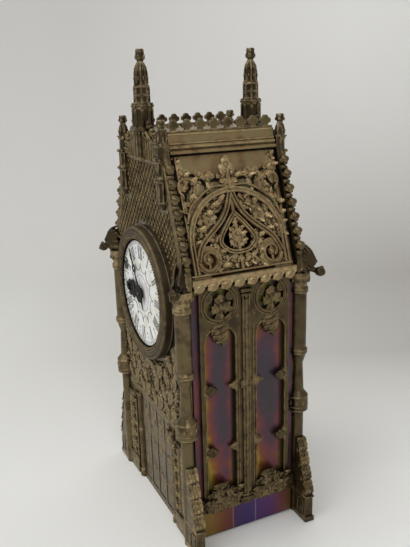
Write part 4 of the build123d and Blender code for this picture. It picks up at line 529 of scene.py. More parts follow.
@dataclass(frozen=True)
class Enamel(Finish):
    """White enamel with faint clouds, fine specks and a few chips down to the ground coat."""

    name: str = "white_enamel"
    white: Tone = (244, 245, 247)
    cloud: Tone = (228, 226, 212)
    speck: Tone = (120, 118, 112)
    ground: Tone = (58, 62, 48)
    # x, z and radius of each chip, in metres, and the y of the dial's face
    chips: Rows = ((-0.0228, 0.1345, 0.0036), (-0.0262, 0.1135, 0.0016), (-0.013, 0.0985, 0.0011))
    face: float = -0.0356
    far: float = 9.0

    def paint(self, pad: NodePad) -> None:
        """Lay out the clouds, the specks and the chips.

        Args:
            pad: Pad of this finish.
        """
        colour = pad.tones(pad.noise(110.0, 3.0), [(0.38, self.cloud), (0.58, self.white)])
        specks = pad.levels(pad.noise(1500.0, 1.0), [(0.7, 0.0), (0.76, 0.5)])
        colour = pad.mix(specks, colour, tone(self.speck))
        ragged = pad.spread(pad.noise(520.0, 3.0), -0.4, 0.4)
        nearest: object = self.far
        for x, z, radius in self.chips:
            distance = pad.vector("DISTANCE", (x, self.face, z))
            nearest = pad.maths("MINIMUM", nearest, pad.maths("DIVIDE", distance, radius))
        chipped = pad.levels(pad.maths("ADD", ragged, nearest), [(0.86, 1.0), (0.95, 0.0)])
        colour = pad.mix(chipped, colour, tone(self.ground))
        pad.surface(colour, pad.spread(chipped, 0.16, 0.6, 0.0, 1.0))


@dataclass(frozen=True)
class PlainMetal(Finish):
    """Worked metal with fine scratches and slight stains."""

    body: Tone
    stain: Tone
    metallic: float = 1.0
    rough: tuple[float, float] = (0.25, 0.42)
    gloss: float = 0.5

    def paint(self, pad: NodePad) -> None:
        """Lay out the stains and the scratches.

        Args:
            pad: Pad of this finish.
        """
        blotch = pad.noise(240.0, 4.0)
        scratch = pad.noise(1600.0, 2.0, (1, 0.12, 1))
        colour = pad.tones(blotch, [(0.4, self.stain), (0.6, self.body)])
        pad.surface(colour, pad.spread(scratch, *self.rough), self.metallic)
        pad.shader.inputs["Specular IOR Level"].default_value = self.gloss
        pad.bump(scratch, 0.08, 0.0002)


@dataclass(frozen=True)
class Printed(Finish):
    """Dark ceramic paint of the dial's markings, thin in places."""

    name: str = "dial_black"
    dark: Tone = (20, 22, 26)
    thin: Tone = (92, 100, 108)

    def paint(self, pad: NodePad) -> None:
        """Lay out the dark paint and its thin places."""
        pad.surface(pad.tones(pad.noise(420.0, 3.0), [(0.42, self.dark), (0.62, self.thin)]), 0.3)


BRONZE = CastBronze("case_bronze")
ROOF_BRONZE = CastBronze(
    "roof_bronze", (140, 116, 80), (112, 92, 62), (132, 121, 86), (18, 14, 9), (184, 160, 118), 0.62, 0.0032
)
SIDE_BRONZE = CastBronze(
    "side_bronze", (75, 61, 39), (54, 43, 27), (78, 70, 40), (15, 12, 8), (136, 116, 80), 0.7, 0.0045
)
SPIRE_BRONZE = CastBronze(
    "spire_bronze", (64, 51, 31), (45, 36, 22), (64, 56, 34), (16, 12, 8), (160, 140, 106), 0.72
)
BEZEL_BRONZE = CastBronze(
    "bezel_bronze", (66, 54, 34), (48, 39, 24), (66, 60, 36), (14, 11, 7), (132, 114, 80),
    0.55, 0.0028, (0.5, 0.7),
)
ENAMEL = Enamel()
PAINT = Printed()
BRASS = PlainMetal("worked_brass", (168, 132, 66), (128, 98, 50))
STEEL = PlainMetal("worked_steel", (150, 148, 144), (112, 110, 108))
BLACK_STEEL = PlainMetal("blacked_steel", (12, 10, 8), (22, 18, 14), 0.0, (0.5, 0.7), 0.25)
# flat black that paints shade: in the roof's piercings and gaps, and in the bezel's knurled sight edge
SHADE_BLACK = PlainMetal("painted_shade_black", (14, 11, 8), (22, 17, 11), 0.0, (0.8, 0.95), 0.08)


# Modelling

def meshed(source: bmesh.types.BMesh, name: str) -> bpy.types.Mesh:
    """Turn a bmesh into a mesh and free it.

    Args:
        source: The bmesh.
        name: Name of the mesh.

    Returns:
        The mesh.
    """
    mesh = bpy.data.meshes.new(name)
    source.to_mesh(mesh)
    source.free()
    return mesh


def in_scene(name: str, data: bpy.types.ID) -> bpy.types.Object:
    """Make an object and link it to the scene.

    Args:
        name: Name of the object.
        data: What it shows.

    Returns:
        The object.
    """
    made = bpy.data.objects.new(name, data)
    bpy.context.scene.collection.objects.link(made)
    return made


def tube(points: Sequence[Point], radius: float, closed: bool = False, sides: int = 1) -> bpy.types.Mesh:
    """Sweep a round section along a line.

    Args:
        points: Points of the line.
        radius: Radius of the section.
        closed: Whether the line joins up.
        sides: Bevel resolution of the section.

    Returns:
        The swept mesh.
    """
    curve = bpy.data.curves.new("line", "CURVE")
    curve.dimensions = "3D"
    curve.bevel_depth = radius
    curve.bevel_resolution = sides
    curve.use_fill_caps = not closed
    spline = curve.splines.new("POLY")
    spline.points.add(len(points) - 1)
    for knot, point in zip(spline.points, points):
        knot.co = (*point, 1.0)
    spline.use_cyclic_u = closed
    holder = bpy.data.objects.new("line", curve)
    mesh = bpy.data.meshes.new_from_object(holder)
    bpy.data.objects.remove(holder)
    bpy.data.curves.remove(curve)
    return mesh


class Casting:
    """A mesh that is modelled in a local frame, in millimetres, before it becomes a piece."""

    motifs: dict[str, bpy.types.Mesh] = {}

    def __init__(self, place: Matrix) -> None:
        """Start an empty mesh in a local frame."""
        self.place = place
        self.mesh = bmesh.new()

    def take(self, mesh: bpy.types.Mesh) -> None:
        """Add a finished mesh and remove the original."""
        self.mesh.from_mesh(mesh)
        bpy.data.meshes.remove(mesh)

    def lay(self, motif: str, matrix: Matrix) -> None:
        """Add a copy of a motif.

        Args:
            motif: Name of the motif.
            matrix: Its place, turn and scale.
        """
        copy = self.motifs[motif].copy()
        copy.transform(matrix)
        self.take(copy)

    def stamp(self, motif: str, at: Point, size: object = 1.0, spin: float = 0.0, tilt: float = 0.0) -> None:
        """Add a copy of a motif that grows along its own y, tilted about its own x and then spun."""
        self.lay(motif, posed(at, size, spin, tilt))

    def block(self, centre: Point, size: Point, spin: float = 0.0, bevel: float = 0.0) -> None:
        """Add a block.

        Args:
            centre: Middle of the block.
            size: Its three sizes.
            spin: Turn about the local z, in degrees.
            bevel: Width of its bevelled edges.
        """
        made = bmesh.ops.create_cube(self.mesh, size=1.0, matrix=posed(centre, size, spin))
        if bevel:
            edges = list({edge for vert in made["verts"] for edge in vert.link_edges})
            bmesh.ops.bevel(
                self.mesh, geom=edges, offset=bevel, affect="EDGES", segments=1, profile=0.5, material=-1
            )

    def ball(
        self, centre: Point, radii: object, segments: int = 12, spin: float = 0.0, tip: float = 0.0
    ) -> None:
        """Add a ball or an egg.

        Args:
            centre: Middle of the ball.
            radii: One radius, or three.
            segments: Number of its meridians.
            spin: Turn about the local z, in degrees.
            tip: Turn about its own y before the spin, in degrees.
        """
        matrix = posed(centre, radii, spin, tip, "Y")
        rings = max(6, segments // 2 + 1)
        bmesh.ops.create_uvsphere(self.mesh, u_segments=segments, v_segments=rings, radius=1.0, matrix=matrix)

    def drum(self, centre: Point, foot_r: float, top_r: float, height: float, sides: int = 8) -> None:
        """Add a tapered prism that stands along the local z.

        Args:
            centre: Middle of its foot.
            foot_r: Radius at the foot.
            top_r: Radius at the top.
            height: Its height.
            sides: Number of its sides.
        """
        middle = Vector(centre) + Vector((0, 0, height / 2))
        matrix = Matrix.Translation(middle) @ Matrix.Rotation(math.pi / sides, 4, "Z")
        bmesh.ops.create_cone(
            self.mesh, cap_ends=True, cap_tris=False, segments=sides,
            radius1=foot_r, radius2=top_r, depth=height, matrix=matrix,
        )

    def turned(self, profile: Sequence[tuple[float, float]], at: Point = (0, 0, 0), steps: int = 16) -> None:
        """Add a turned shape that stands along the local z.

        Args:
            profile: Pairs of radius and height from foot to top.
            at: Place of the axis's foot.
            steps: Number of its meridians.
        """
        lathe = bmesh.new()
        verts = [lathe.verts.new((radius, 0, height)) for radius, height in profile]
        edges = [lathe.edges.new(pair) for pair in zip(verts, verts[1:])]
        bmesh.ops.spin(
            lathe, geom=verts + edges, cent=(0, 0, 0), axis=(0, 0, 1),
            angle=2 * math.pi, steps=steps, use_merge=True,
        )
        bmesh.ops.remove_doubles(lathe, verts=lathe.verts[:], dist=1e-4)
        bmesh.ops.translate(lathe, verts=lathe.verts[:], vec=Vector(at))
        self.take(meshed(lathe, "turned"))

    def roll(
        self, points: Iterable[Point], radius: float, lift: float = 0.0, closed: bool = False, sides: int = 1
    ) -> None:
        """Add a round moulding along a line.

        Args:
            points: Points of the line.
            radius: Radius of the moulding.
            lift: Height above the local plane.
            closed: Whether the line joins up.
            sides: Bevel resolution of the section.
        """
        line = [Vector(point).to_3d() + Vector((0, 0, lift)) for point in points]
        self.take(tube(line, radius, closed, sides))

    def ring(
        self, centre: Point, radius: float, thick: float, lift: float, steps: int, sides: int = 1
    ) -> None:
        """Add a round moulding of a given thickness and lift along a full circle of straight steps."""
        self.roll(arc(centre, radius, 0, FULL_TURN, steps)[:-1], thick, lift, True, sides)

    def plate(self, outline: Sequence[Point], foot: float, thick: float) -> None:
        """Add a flat plate.

        Args:
            outline: Corners of the plate in the local plane.
            foot: Height of its lower face.
            thick: Its thickness.
        """
        verts = [self.mesh.verts.new((point[0], point[1], foot)) for point in outline]
        face = self.mesh.faces.new(verts)
        raised = bmesh.ops.extrude_face_region(self.mesh, geom=[face], use_keep_orig=True)
        tops = [item for item in raised["geom"] if isinstance(item, bmesh.types.BMVert)]
        bmesh.ops.translate(self.mesh, verts=tops, vec=(0, 0, thick))

    def trim(self, point: Point, normal: Point) -> None:
        """Cut away what lies on the normal's side of a plane and close the cut.

        Args:
            point: A point of the plane.
            normal: Normal of the plane.
        """
        everything = self.mesh.verts[:] + self.mesh.edges[:] + self.mesh.faces[:]
        bmesh.ops.bisect_plane(self.mesh, geom=everything, plane_co=point, plane_no=normal, clear_outer=True)
        rims = [edge for edge in self.mesh.edges if edge.is_boundary]
        bmesh.ops.holes_fill(self.mesh, edges=rims, sides=0)

    def join(self, other: "Casting") -> None:
        """Add another casting that is in the same local frame."""
        self.take(meshed(other.mesh, "joined"))

    def closed(self, name: str) -> bpy.types.Mesh:
        """End the modelling with every face turned outwards."""
        bmesh.ops.recalc_face_normals(self.mesh, faces=self.mesh.faces[:])
        return meshed(self.mesh, name)

    def keep(self, name: str) -> None:
        """Keep the mesh as a motif that every casting can stamp."""
        self.motifs[name] = self.closed(name)

    def fuse(self, voxel: float) -> None:
        """Melt overlapping shapes into one skin.

        Args:
            voxel: Size of the grid, in millimetres.
        """
        mesh = bpy.data.meshes.new("lumps")
        self.mesh.to_mesh(mesh)
        holder = in_scene("lumps", mesh)
        melt = holder.modifiers.new("melt", "REMESH")
        melt.mode = "VOXEL"
        melt.voxel_size = voxel
        graph = bpy.context.evaluated_depsgraph_get()
        skin = bpy.data.meshes.new_from_object(holder.evaluated_get(graph))
        self.mesh.clear()
        self.mesh.from_mesh(skin)
        axes = {"use_axis_x": True, "use_axis_y": True, "use_axis_z": True}
        for _ in range(2):
            bmesh.ops.smooth_vert(self.mesh, verts=self.mesh.verts[:], factor=0.5, **axes)
        bpy.data.objects.remove(holder)
        bpy.data.meshes.remove(mesh)
        bpy.data.meshes.remove(skin)

    def piece(
        self, name: str, finish: Finish, body: str = "case",
        stands_for: Sequence[str] = (),
    ) -> None:
        """Set the mesh in the row frame and make it a piece.

        Args:
            name: Name of the piece.
            finish: Finish that it takes.
            body: Body that it rides on.
            stands_for: CAD nodes that it replaces.
        """
        self.mesh.transform(self.place)
        mesh = self.closed(name)
        mesh.polygons.foreach_set("use_smooth", [True] * len(mesh.polygons))
        mesh.set_sharp_from_angle(angle=SHARP_ANGLE)
        mesh.materials.append(finish.material())
        made = in_scene(name, mesh)
        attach(made, body)
        if stands_for:
            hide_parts(*stands_for)
        LOG.info("%s: %d faces, rides on %s", name, len(mesh.polygons), body)

    def carved(self, name: str, finish: Finish) -> None:
        """Make the mesh a piece that replaces the CAD node of a name."""
        self.piece(f"{name}_carved", finish, stands_for=[name])


def bare() -> Casting:
    """Start a casting whose local frame is its own, for a motif."""
    return Casting(Matrix.Identity(4))


class Motifs:
    """Small cast ornaments that are modelled once and stamped many times."""

    def build(self) -> None:
        """Model every motif."""
        self.lobed_leaf("leaf", 0.30, 0.10)
        self.lobed_leaf("curled", 0.30, 0.55)
        self.lobed_leaf("petal", 0.26, 0.0, 0.0)
        self.small_ball("dot", 1)
        self.small_ball("berry", 2)
        self.knot("trefoil", 3, 0.25, 0.27)
        self.knot("cinquefoil", 5, 0.30, 0.2)
        self.frond()
        self.crocket()
        self.finial()

    def lobed_leaf(self, name: str, belly: float, curl: float, lobing: float = 0.34) -> None:
        """Model a leaf of unit length that grows along y.

        Args:
            name: Name of the motif.
            belly: Height of its crowned middle.
            curl: How far its tip turns up.
            lobing: How deep its edge is cut.
        """
        leaf = bare()
        bmesh.ops.create_grid(leaf.mesh, x_segments=4, y_segments=9, size=1.0)
        for vert in leaf.mesh.verts:
            across, along = vert.co.x, (vert.co.y + 1) / 2
            lobe = 1 - lobing + lobing * math.cos(6 * math.pi * along)
            half = 0.07 + 0.42 * math.sin(math.pi * min(1.0, 0.10 + 0.86 * along)) ** 0.8 * lobe
            crown = belly * (1 - across * across) * math.sin(math.pi * (0.15 + 0.8 * along))
            vein = 0.05 * math.cos(6 * math.pi * along) * abs(across)
            vert.co = (across * half, along, crown + vein + curl * along ** 3)
        bmesh.ops.solidify(leaf.mesh, geom=leaf.mesh.faces[:], thickness=0.12)
        leaf.keep(name)

    def small_ball(self, name: str, detail: int) -> None:
        """Model a ball of unit radius.

        Args:
            name: Name of the motif.
            detail: Number of subdivisions.
        """
        ball = bare()
        bmesh.ops.create_icosphere(ball.mesh, subdivisions=detail, radius=1.0)
        ball.keep(name)

    def knot(self, name: str, lobes: int, ring: float, wide: float) -> None:
        """Model a knotted leaf about one unit across, with plump lobes round a small boss.

        Args:
            name: Name of the motif.
            lobes: Number of its lobes.
            ring: Distance of the lobes from the middle.
            wide: Half the width of a lobe.
        """
        knot = bare()
        for turn in round_angles(lobes, 90):
            knot.ball(polar(ring, turn, 0.02), (0.27, wide, 0.19), 8, math.degrees(turn))
        knot.ball((0, 0, 0.08), (0.12, 0.12, 0.11), 8)
        knot.keep(name)

    def frond(self) -> None:
        """Model a frond of unit length: a midrib with four pairs of leaflets and a tip."""
        frond = bare()
        for pair in range(4):
            along, share = 0.17 + 0.2 * pair, 1 - 0.14 * pair
            for way in BOTH:
                frond.ball((way * 0.2 * share, along + 0.05, 0.03), (0.2 * share, 0.1, 0.09), 8, way * 38)
        frond.ball((0, 0.9, 0.04), (0.1, 0.14, 0.09), 8)
        frond.ball((0, 0.48, 0.05), (0.05, 0.48, 0.08), 8)
        frond.keep("frond")

    def crocket(self) -> None:
        """Model a crocket of unit size: a stem that curls over into a knob with two side lobes."""
        crocket = bare()
        crocket.ball((0, 0.28, 0), (0.42, 0.5, 0.4), 8)
        crocket.ball((0, 0.85, 0.05), (0.5, 0.44, 0.5), 8)
        for way in (1, -1):
            crocket.ball((way * 0.42, 0.5, 0.1), (0.3, 0.34, 0.3), 8)
        crocket.keep("crocket")

    def finial(self) -> None:
        """Model a crown finial of unit height that stands along z."""
        crown = bare()
        profile = [(0, 0), (0.34, 0), (0.30, 0.14), (0.42, 0.3), (0.46, 0.46), (0.42, 0.66), (0.4, 0.9)]
        crown.turned(profile + [(0.34, 1.0), (0, 1.0)], steps=10)
        for turn in round_angles(4, 45):
            crown.ball(polar(0.38, turn, 0.42), (0.16, 0.16, 0.2), 8)
            crown.ball(polar(0.3, turn, 0.84), 0.14, 8)
        crown.keep("finial")


@dataclass
class WallDress:
    """Cast relief on one end wall, from its door to the crockets of its gable."""

    side: Side
    lattice_w: float = 4.2
    lattice_h: float = 4.8
    rake_foot: tuple[float, float] = (48.5, 144.2)
    rake_head: tuple[float, float] = (28.2, 197.5)
    crockets: int = 7
    shoulder_crockets: Rows = ((20.8, 202.6, 2.6), (17.6, 202.8, 2.9), (14.4, 203.4, 3.1), (11.4, 205.0, 3.2))
    corner_crockets: Rows = ((20.6, 194.4, 3.2), (20.2, 198.0, 3.0), (19.4, 201.4, 2.8))
    foliage_x: float = 39.0
    foliage_z: tuple[float, float] = (63.5, 106.0)
    foliage_seed: int = 11
    leaf_l: float = 10.0
    leaf_w: float = 5.6
    lobe_share: float = 0.6
    lobe_spread: float = 48.0
    vine: Rows = ((1.5, 62.5), (8, 71), (17, 68), (25, 74), (31, 72), (34, 82), (31, 90))
    portal_half: float = 22.0
    portal_panels: int = 4
    portal_face: float = -0.3
    pilaster_x: float = 25.0
    pilaster_rings: tuple[Rows, ...] = (
        ((0.0, 0.2), (2.2, 0.2), (2.2, 2.2), (1.6, 3.2), (2.0, 4.2), (1.5, 5.2), (0.0, 5.2)),
        ((0.0, 30.4), (1.5, 30.4), (1.85, 31), (1.85, 31.8), (1.5, 32.4), (0.0, 32.4)),
        ((0.0, 53.6), (1.5, 53.6), (1.95, 54.2), (1.7, 55), (2.4, 58.6), (2.4, 59.5), (0.0, 59.5)),
    )
    chain_x: float = 31.4
    pier_x: float = 36.0
    column_rings: Rows = (
        (62.0, 5.3), (64.2, 5.4), (69.8, 5.3), (94.4, 4.5), (95.8, 4.5), (127.4, 4.5), (128.8, 4.5),
    )
    column_bowl: Rows = (
        (0, 129.8), (4.0, 129.8), (4.2, 131.4), (4.9, 133.4), (5.5, 135.0), (5.5, 137.4), (0, 137.4),
    )
    coping_reach: float = 12.4
    coping_head: float = 4.0
    coping_z: tuple[float, float] = (16.0, 46.0)
    coping_steps: int = 4
    foot_panel: Rows = ((6.0, 4.0), (6.0, 11.5), (8.6, 13.4), (11.2, 11.5), (11.2, 4.0))

    def build(self) -> None:
        """Model every relief of this wall."""
        self.gable()
        self.foliage()
        self.portal()
        self.columns()

    def half_width(self, z: float) -> float:
        """Half the wall's free width at a height.

        Args:
            z: The height.

        Returns:
            Half the width.
        """
        if z < self.rake_foot[1]:
            return 40.0
        share = (z - self.rake_foot[1]) / (self.rake_head[1] - self.rake_foot[1])
        return self.rake_foot[0] + (self.rake_head[0] - self.rake_foot[0]) * share - 4.4

    def on_ground(self, x: float, z: float) -> bool:
        """Tell whether the lattice covers a point.

        Args:
            x: Place along the wall.
            z: Height of the point.

        Returns:
            Whether it is on the free ground of the wall.
        """
        clear = 37.0 if self.side == Side.FRONT else DOOR_R + 2.2
        if math.hypot(x, z - DIAL_Z) < clear or not 108 < z < 192.5 or abs(x) > self.half_width(z):
            return False
        if abs(abs(x) - PINNACLE_X) < 4.6 and z > 171:
            return False
        if self.side == Side.FRONT:
            return True
        by_fastener = math.hypot(abs(x) - 36, z - 142) < 4.4
        by_hinge = abs(x - 32) < 3 and abs(z - DIAL_Z) < 11
        return not (by_fastener or by_hinge)

    def gable(self) -> None:
        """Model the lattice, the blind lancets under the top and the slopes."""
        cast = Casting(wall_frame(self.side))
        self.lattice(cast)
        for step in range(-6, 7):
            x = step * 3.1
            top = 202.0 if abs(x) > 13 else 205.5 if abs(x) < 7.5 else 203.5
            cast.roll([(x, 193.6), (x, top - 1.6)], 0.5, 0.05)
            if step < 6 and abs(x + 1.55) < 20:
                cast.roll(arc((x + 1.55, top - 2.6), 1.55, 0, 180, 6), 0.3, 0.1)
        cast.roll([(-22, 193.2), (22, 193.2)], 0.6, 0.05)
        self.slopes(cast)
        cast.piece(f"{self.side.word}_gable_relief", BRONZE)

    def lattice(self, cast: Casting) -> None:
        """Model the lattice of the gable with its studs.

        Args:
            cast: Casting to fill.
        """
        wide, tall = self.lattice_w, self.lattice_h
        columns = int(48 / wide)
        lean = math.degrees(math.atan2(tall, wide))
        length = math.hypot(wide, tall) / 2
        spots = [
            ((column + half) * wide, 107 + (row + half) * tall)
            for row in range(int(90 / tall)) for column in range(-columns, columns + 1) for half in (0.0, 0.5)
        ]
        for x, z in spots:
            if not self.on_ground(x, z):
                continue
            cast.stamp("dot", (x, z, 0.25), (0.8, 0.86, 0.75))
            for way in BOTH:
                if self.on_ground(x + way * wide / 2, z + tall / 2):
                    cast.block((x + way * wide / 4, z + tall / 4, 0.05), (length, 0.34, 0.5), way * lean)

    def slopes(self, cast: Casting) -> None:
        """Model the rolls and crockets of both slopes and the small crockets of the shoulder.

        Args:
            cast: Casting to fill.
        """
        foot, head = Vector(self.rake_foot), Vector(self.rake_head)
        run = head - foot
        out = Vector((-run.y, run.x)).normalized() * -1
        lean = math.degrees(math.atan2(out.y, out.x)) - 90
        pitch = self.crockets + 1
        for way in BOTH:
            flip = Vector((way, 1))
            for inset, radius in ((1.5, 0.8), (3.4, 0.4)):
                ends = [(foot - out * inset + run * 0.015) * flip, (head - out * inset) * flip]
                cast.roll(ends, radius, 0.1)
            for count in range(self.crockets):
                at = (foot + run * (count + 1) / pitch) * flip
                spin = way * (lean + 14)
                cast.stamp("crocket", (at.x + way * 0.4, at.y - 0.2, -1.3), (3.7, 3.1, 4.2), spin)
                cast.block((at.x + way * 1.2, at.y + 0.5, -1.4), (2.6, 3.0, 3.4), spin, 0.8)
                between = (foot + run * (count + 0.52) / pitch + out * 0.5) * flip
                cast.ball((between.x, between.y, -1.3), (1.6, 1.5, 2.0), 8)
            for x, z, size in self.shoulder_crockets:
                cast.stamp("crocket", (way * x, z, -1.4), size, -way * 22)
            for x, z, size in self.corner_crockets:
                cast.stamp("crocket", (way * x, z, -0.4), (size, size, size * 1.3), -way * 30)
            cast.roll([(way * 22.5, 202.4), (way * 15, 202.4), (way * 7, 206.4)], 0.6, 0.1)

    def foliage(self) -> None:
        """Model the leaves under the dial: the main ones over the wall's own relief, small ones between."""
        cast = Casting(wall_frame(self.side))
        draw = random.Random(self.foliage_seed)
        clear = 37.5 if self.side == Side.FRONT else DOOR_R + 5
        for way in BOTH:
            self.main_leaves(cast, way)
            self.undergrowth(cast, way, draw, clear)
            cast.roll(flowing(flipped(self.vine, way)), 0.6, 0.7)
        cast.piece(f"{self.side.word}_foliage_relief", BRONZE)

    def main_leaves(self, cast: Casting, way: int) -> None:
        """Model the main leaves on one side of the middle, each with two side lobes.

        Args:
            cast: Casting to fill.
            way: Left (-1) or right (1) of the middle.
        """
        size = self.leaf_l * self.lobe_share
        for x, z, turn in MAIN_LEAVES:
            angle = math.radians(turn)
            foot_x = way * (x + math.sin(angle) * self.leaf_l / 2)
            foot_z = z - math.cos(angle) * self.leaf_l / 2
            whole = (self.leaf_w * 1.35, self.leaf_l * 1.02, 5.4)
            cast.stamp("frond", (foot_x, foot_z, 1.45), whole, way * turn)
            for spread in (-self.lobe_spread, self.lobe_spread):
                lobe = (size * 0.8, size * 1.05, 4.2)
                cast.stamp("frond", (foot_x, foot_z, 0.85), lobe, way * (turn + spread))
            cast.stamp("berry", (foot_x, foot_z, 1.3), 1.15)

    def undergrowth(self, cast: Casting, way: int, draw: random.Random, clear: float) -> None:
        """Model the curled leaves between the main ones, the pebbled ground and the specks on it.

        Args:
            cast: Casting to fill.
            way: Left (-1) or right (1) of the middle.
            draw: Source of the random places, turns and sizes.
            clear: Radius round the dial that stays free.
        """
        for row in range(10):
            for column in range(10):
                x = 1.4 + column * 3.7 + (row % 2) * 1.8
                z = 63.8 + row * 4.0
                near = min(math.hypot(x - leaf_x, z - leaf_z) for leaf_x, leaf_z, _ in MAIN_LEAVES)
                if near < 3.0 or x > 37.5 or math.hypot(x, z - DIAL_Z) < clear + 0.8:
                    continue
                spin, size = draw.uniform(-180, 180), draw.uniform(3.4, 4.8)
                cast.stamp("curled", (way * x, z, 0.0), (size * 1.2, size, size * 0.45), spin * way, 8)
                if draw.random() < 0.4:
                    cast.stamp("dot", (way * x + 1.2, z + 1.4, 0.8), 0.8)
        for row in range(20):
            for column in range(18):
                x = 0.8 + column * 2.15 + draw.uniform(-0.6, 0.6)
                z = 63.6 + row * 2.15 + draw.uniform(-0.6, 0.6)
                if x < self.foliage_x and math.hypot(x, z - DIAL_Z) > clear:
                    size = (1.25, 0.9, draw.uniform(0.5, 1.1))
                    cast.stamp("dot", (way * x, z, 0.5), size, draw.uniform(0, 180))
        for _ in range(130):
            x, z = draw.uniform(1, self.foliage_x), draw.uniform(*self.foliage_z)
            if math.hypot(x, z - DIAL_Z) > clear:
                cast.stamp("dot", (way * x, z, draw.uniform(1.1, 1.9)), draw.uniform(0.4, 0.65))

    def portal(self) -> None:
        """Model the panels of the door, the pilasters, the leaf chains and the string course."""
        cast = Casting(wall_frame(self.side))
        wide = 2 * self.portal_half / self.portal_panels
        for index in range(self.portal_panels):
            self.panel(cast, -self.portal_half + wide * (index + 0.5), wide / 2 - 0.95)
        for way in BOTH:
            x = way * self.pilaster_x
            for profile in self.pilaster_rings:
                self.pilaster_ring(cast, x, profile)
            for count in range(3):
                cast.stamp("curled", (x + (count - 1) * 1.0, 54.8, 1.3), 3.0, (1 - count) * 18, 20)
            self.chain(cast, way)
        for z, radius in ((59.9, 0.5), (61.6, 0.6)):
            cast.roll([(-34.2, z), (34.2, z)], radius, 1.4)
        for count in range(-10, 11):
            cast.stamp("dot", (count * 2.1, 57.8, 0.0), (0.6, 0.6, 0.5))
        cast.piece(f"{self.side.word}_portal_relief", BRONZE)

    def panel(self, cast: Casting, x: float, half: float) -> None:
        """Model two boards of the door with the blind tracery over them.

        Args:
            cast: Casting to fill.
            x: Middle of the panel.
            half: Half its width.
        """
        face = self.portal_face
        for shift in (-half / 2, half / 2):
            cast.block((x + shift, 29.75, -0.95), (half - 0.04, 51.6, 1.3), 0, 0.08)
        arch = [Vector((x - half + 0.4, z, 0)) for z in (36, 43)]
        arch += arc((x + half * 0.6, 43), half * 1.6 - 0.4, 180, 116, 6)[1:]
        arch += [Vector((x, 50.6, 0))]
        cast.roll(mirrored(arch, x), 0.3, face)
        cast.stamp("trefoil", (x, 44.8, face), (4.0, 4.0, 1.6))
        cast.stamp("leaf", (x, 51.0, face), (3.8, 4.0, 1.5))
        for z in (16.0, 33.0):
            cast.roll([(x - half, z), (x + half, z)], 0.32, face)
            for lift in BOTH:
                cast.stamp("leaf", (x, z, face), (2.2, 3.0, 1.2), 90 - lift * 90)
            for shift in (-2.6, 2.6):
                cast.stamp("dot", (x + shift, z + 1.2, face), 0.5)

    def chain(self, cast: Casting, way: int) -> None:
        """Model the upright chain of leaves, the panel beside it and the foot of one pier.

        Args:
            cast: Casting to fill.
            way: Left (-1) or right (1) of the middle.
        """
        proud = 1.4 if self.side == Side.FRONT else 0.0
        x, pier = way * self.chain_x, way * self.pier_x
        for count in range(10):
            z = 12.8 + count * 3.8
            cast.stamp("leaf", (x, z, proud), (4.0, 4.2, 5.0), way * (26 if count % 2 else -26), 10)
            cast.stamp("dot", (x, z + 0.2, proud + 0.9), 0.7)
        for edge, radius in ((28.9, 0.5), (34.0, 0.7)):
            cast.roll([(way * edge, 12), (way * edge, 50)], radius, proud)
        for count in range(9):
            cast.stamp("trefoil", (way * 38.6, 14.0 + count * 4.0, proud), (4.4, 4.4, 1.8), count * 60)
            cast.stamp("dot", (way * 41.4, 15.5 + count * 4.0, proud), 0.7)
        cast.block((pier, 4.6, proud + 0.2), (14.6, 8.8, 0.9), 0, 0.4)
        cast.block((pier, 10.2, proud + 0.4), (15.2, 1.4, 1.4), 0, 0.4)
        cast.stamp("trefoil", (pier, 4.8, proud + 0.6), (6.0, 6.0, 2.2))

    def pilaster_ring(self, cast: Casting, x: float, profile: Rows) -> None:
        """Add a turned ring to a pilaster, whose axis stands along the local y.

        Args:
            cast: Casting to fill.
            x: Place of the axis.
            profile: Pairs of radius and height.
        """
        ring = bare()
        ring.turned(profile, steps=12)
        upright = Matrix.Rotation(-math.pi / 2, 3, "X")
        bmesh.ops.rotate(ring.mesh, verts=ring.mesh.verts[:], cent=(0, 0, 0), matrix=upright)
        bmesh.ops.translate(ring.mesh, verts=ring.mesh.verts[:], vec=(x, 0, 0))
        cast.join(ring)

    def columns(self) -> None:
        """Model the rings, bowl capitals and set off copings of the two corner columns."""
        finish = BRONZE if self.side == Side.FRONT else SIDE_BRONZE
        for flank in Flank:
            cast = Casting(upright_frame(flank * COLUMN_AT[0], self.side * COLUMN_AT[1], 0))
            for z, radius in self.column_rings:
                cast.ring((0, 0), radius, 0.3, z, 24)
            cast.turned(self.column_bowl, steps=24)
            for turn in round_angles(10):
                cast.ball(polar(5.35, turn, 66.6), (0.45, 0.45, 1.3), 8)
                cast.ball(polar(5.0, turn, 133.6), (0.9, 0.9, 1.4), 8)
            self.copings(cast, flank)
            cast.piece(f"{self.side.word}_{flank.word}_column_relief", finish)

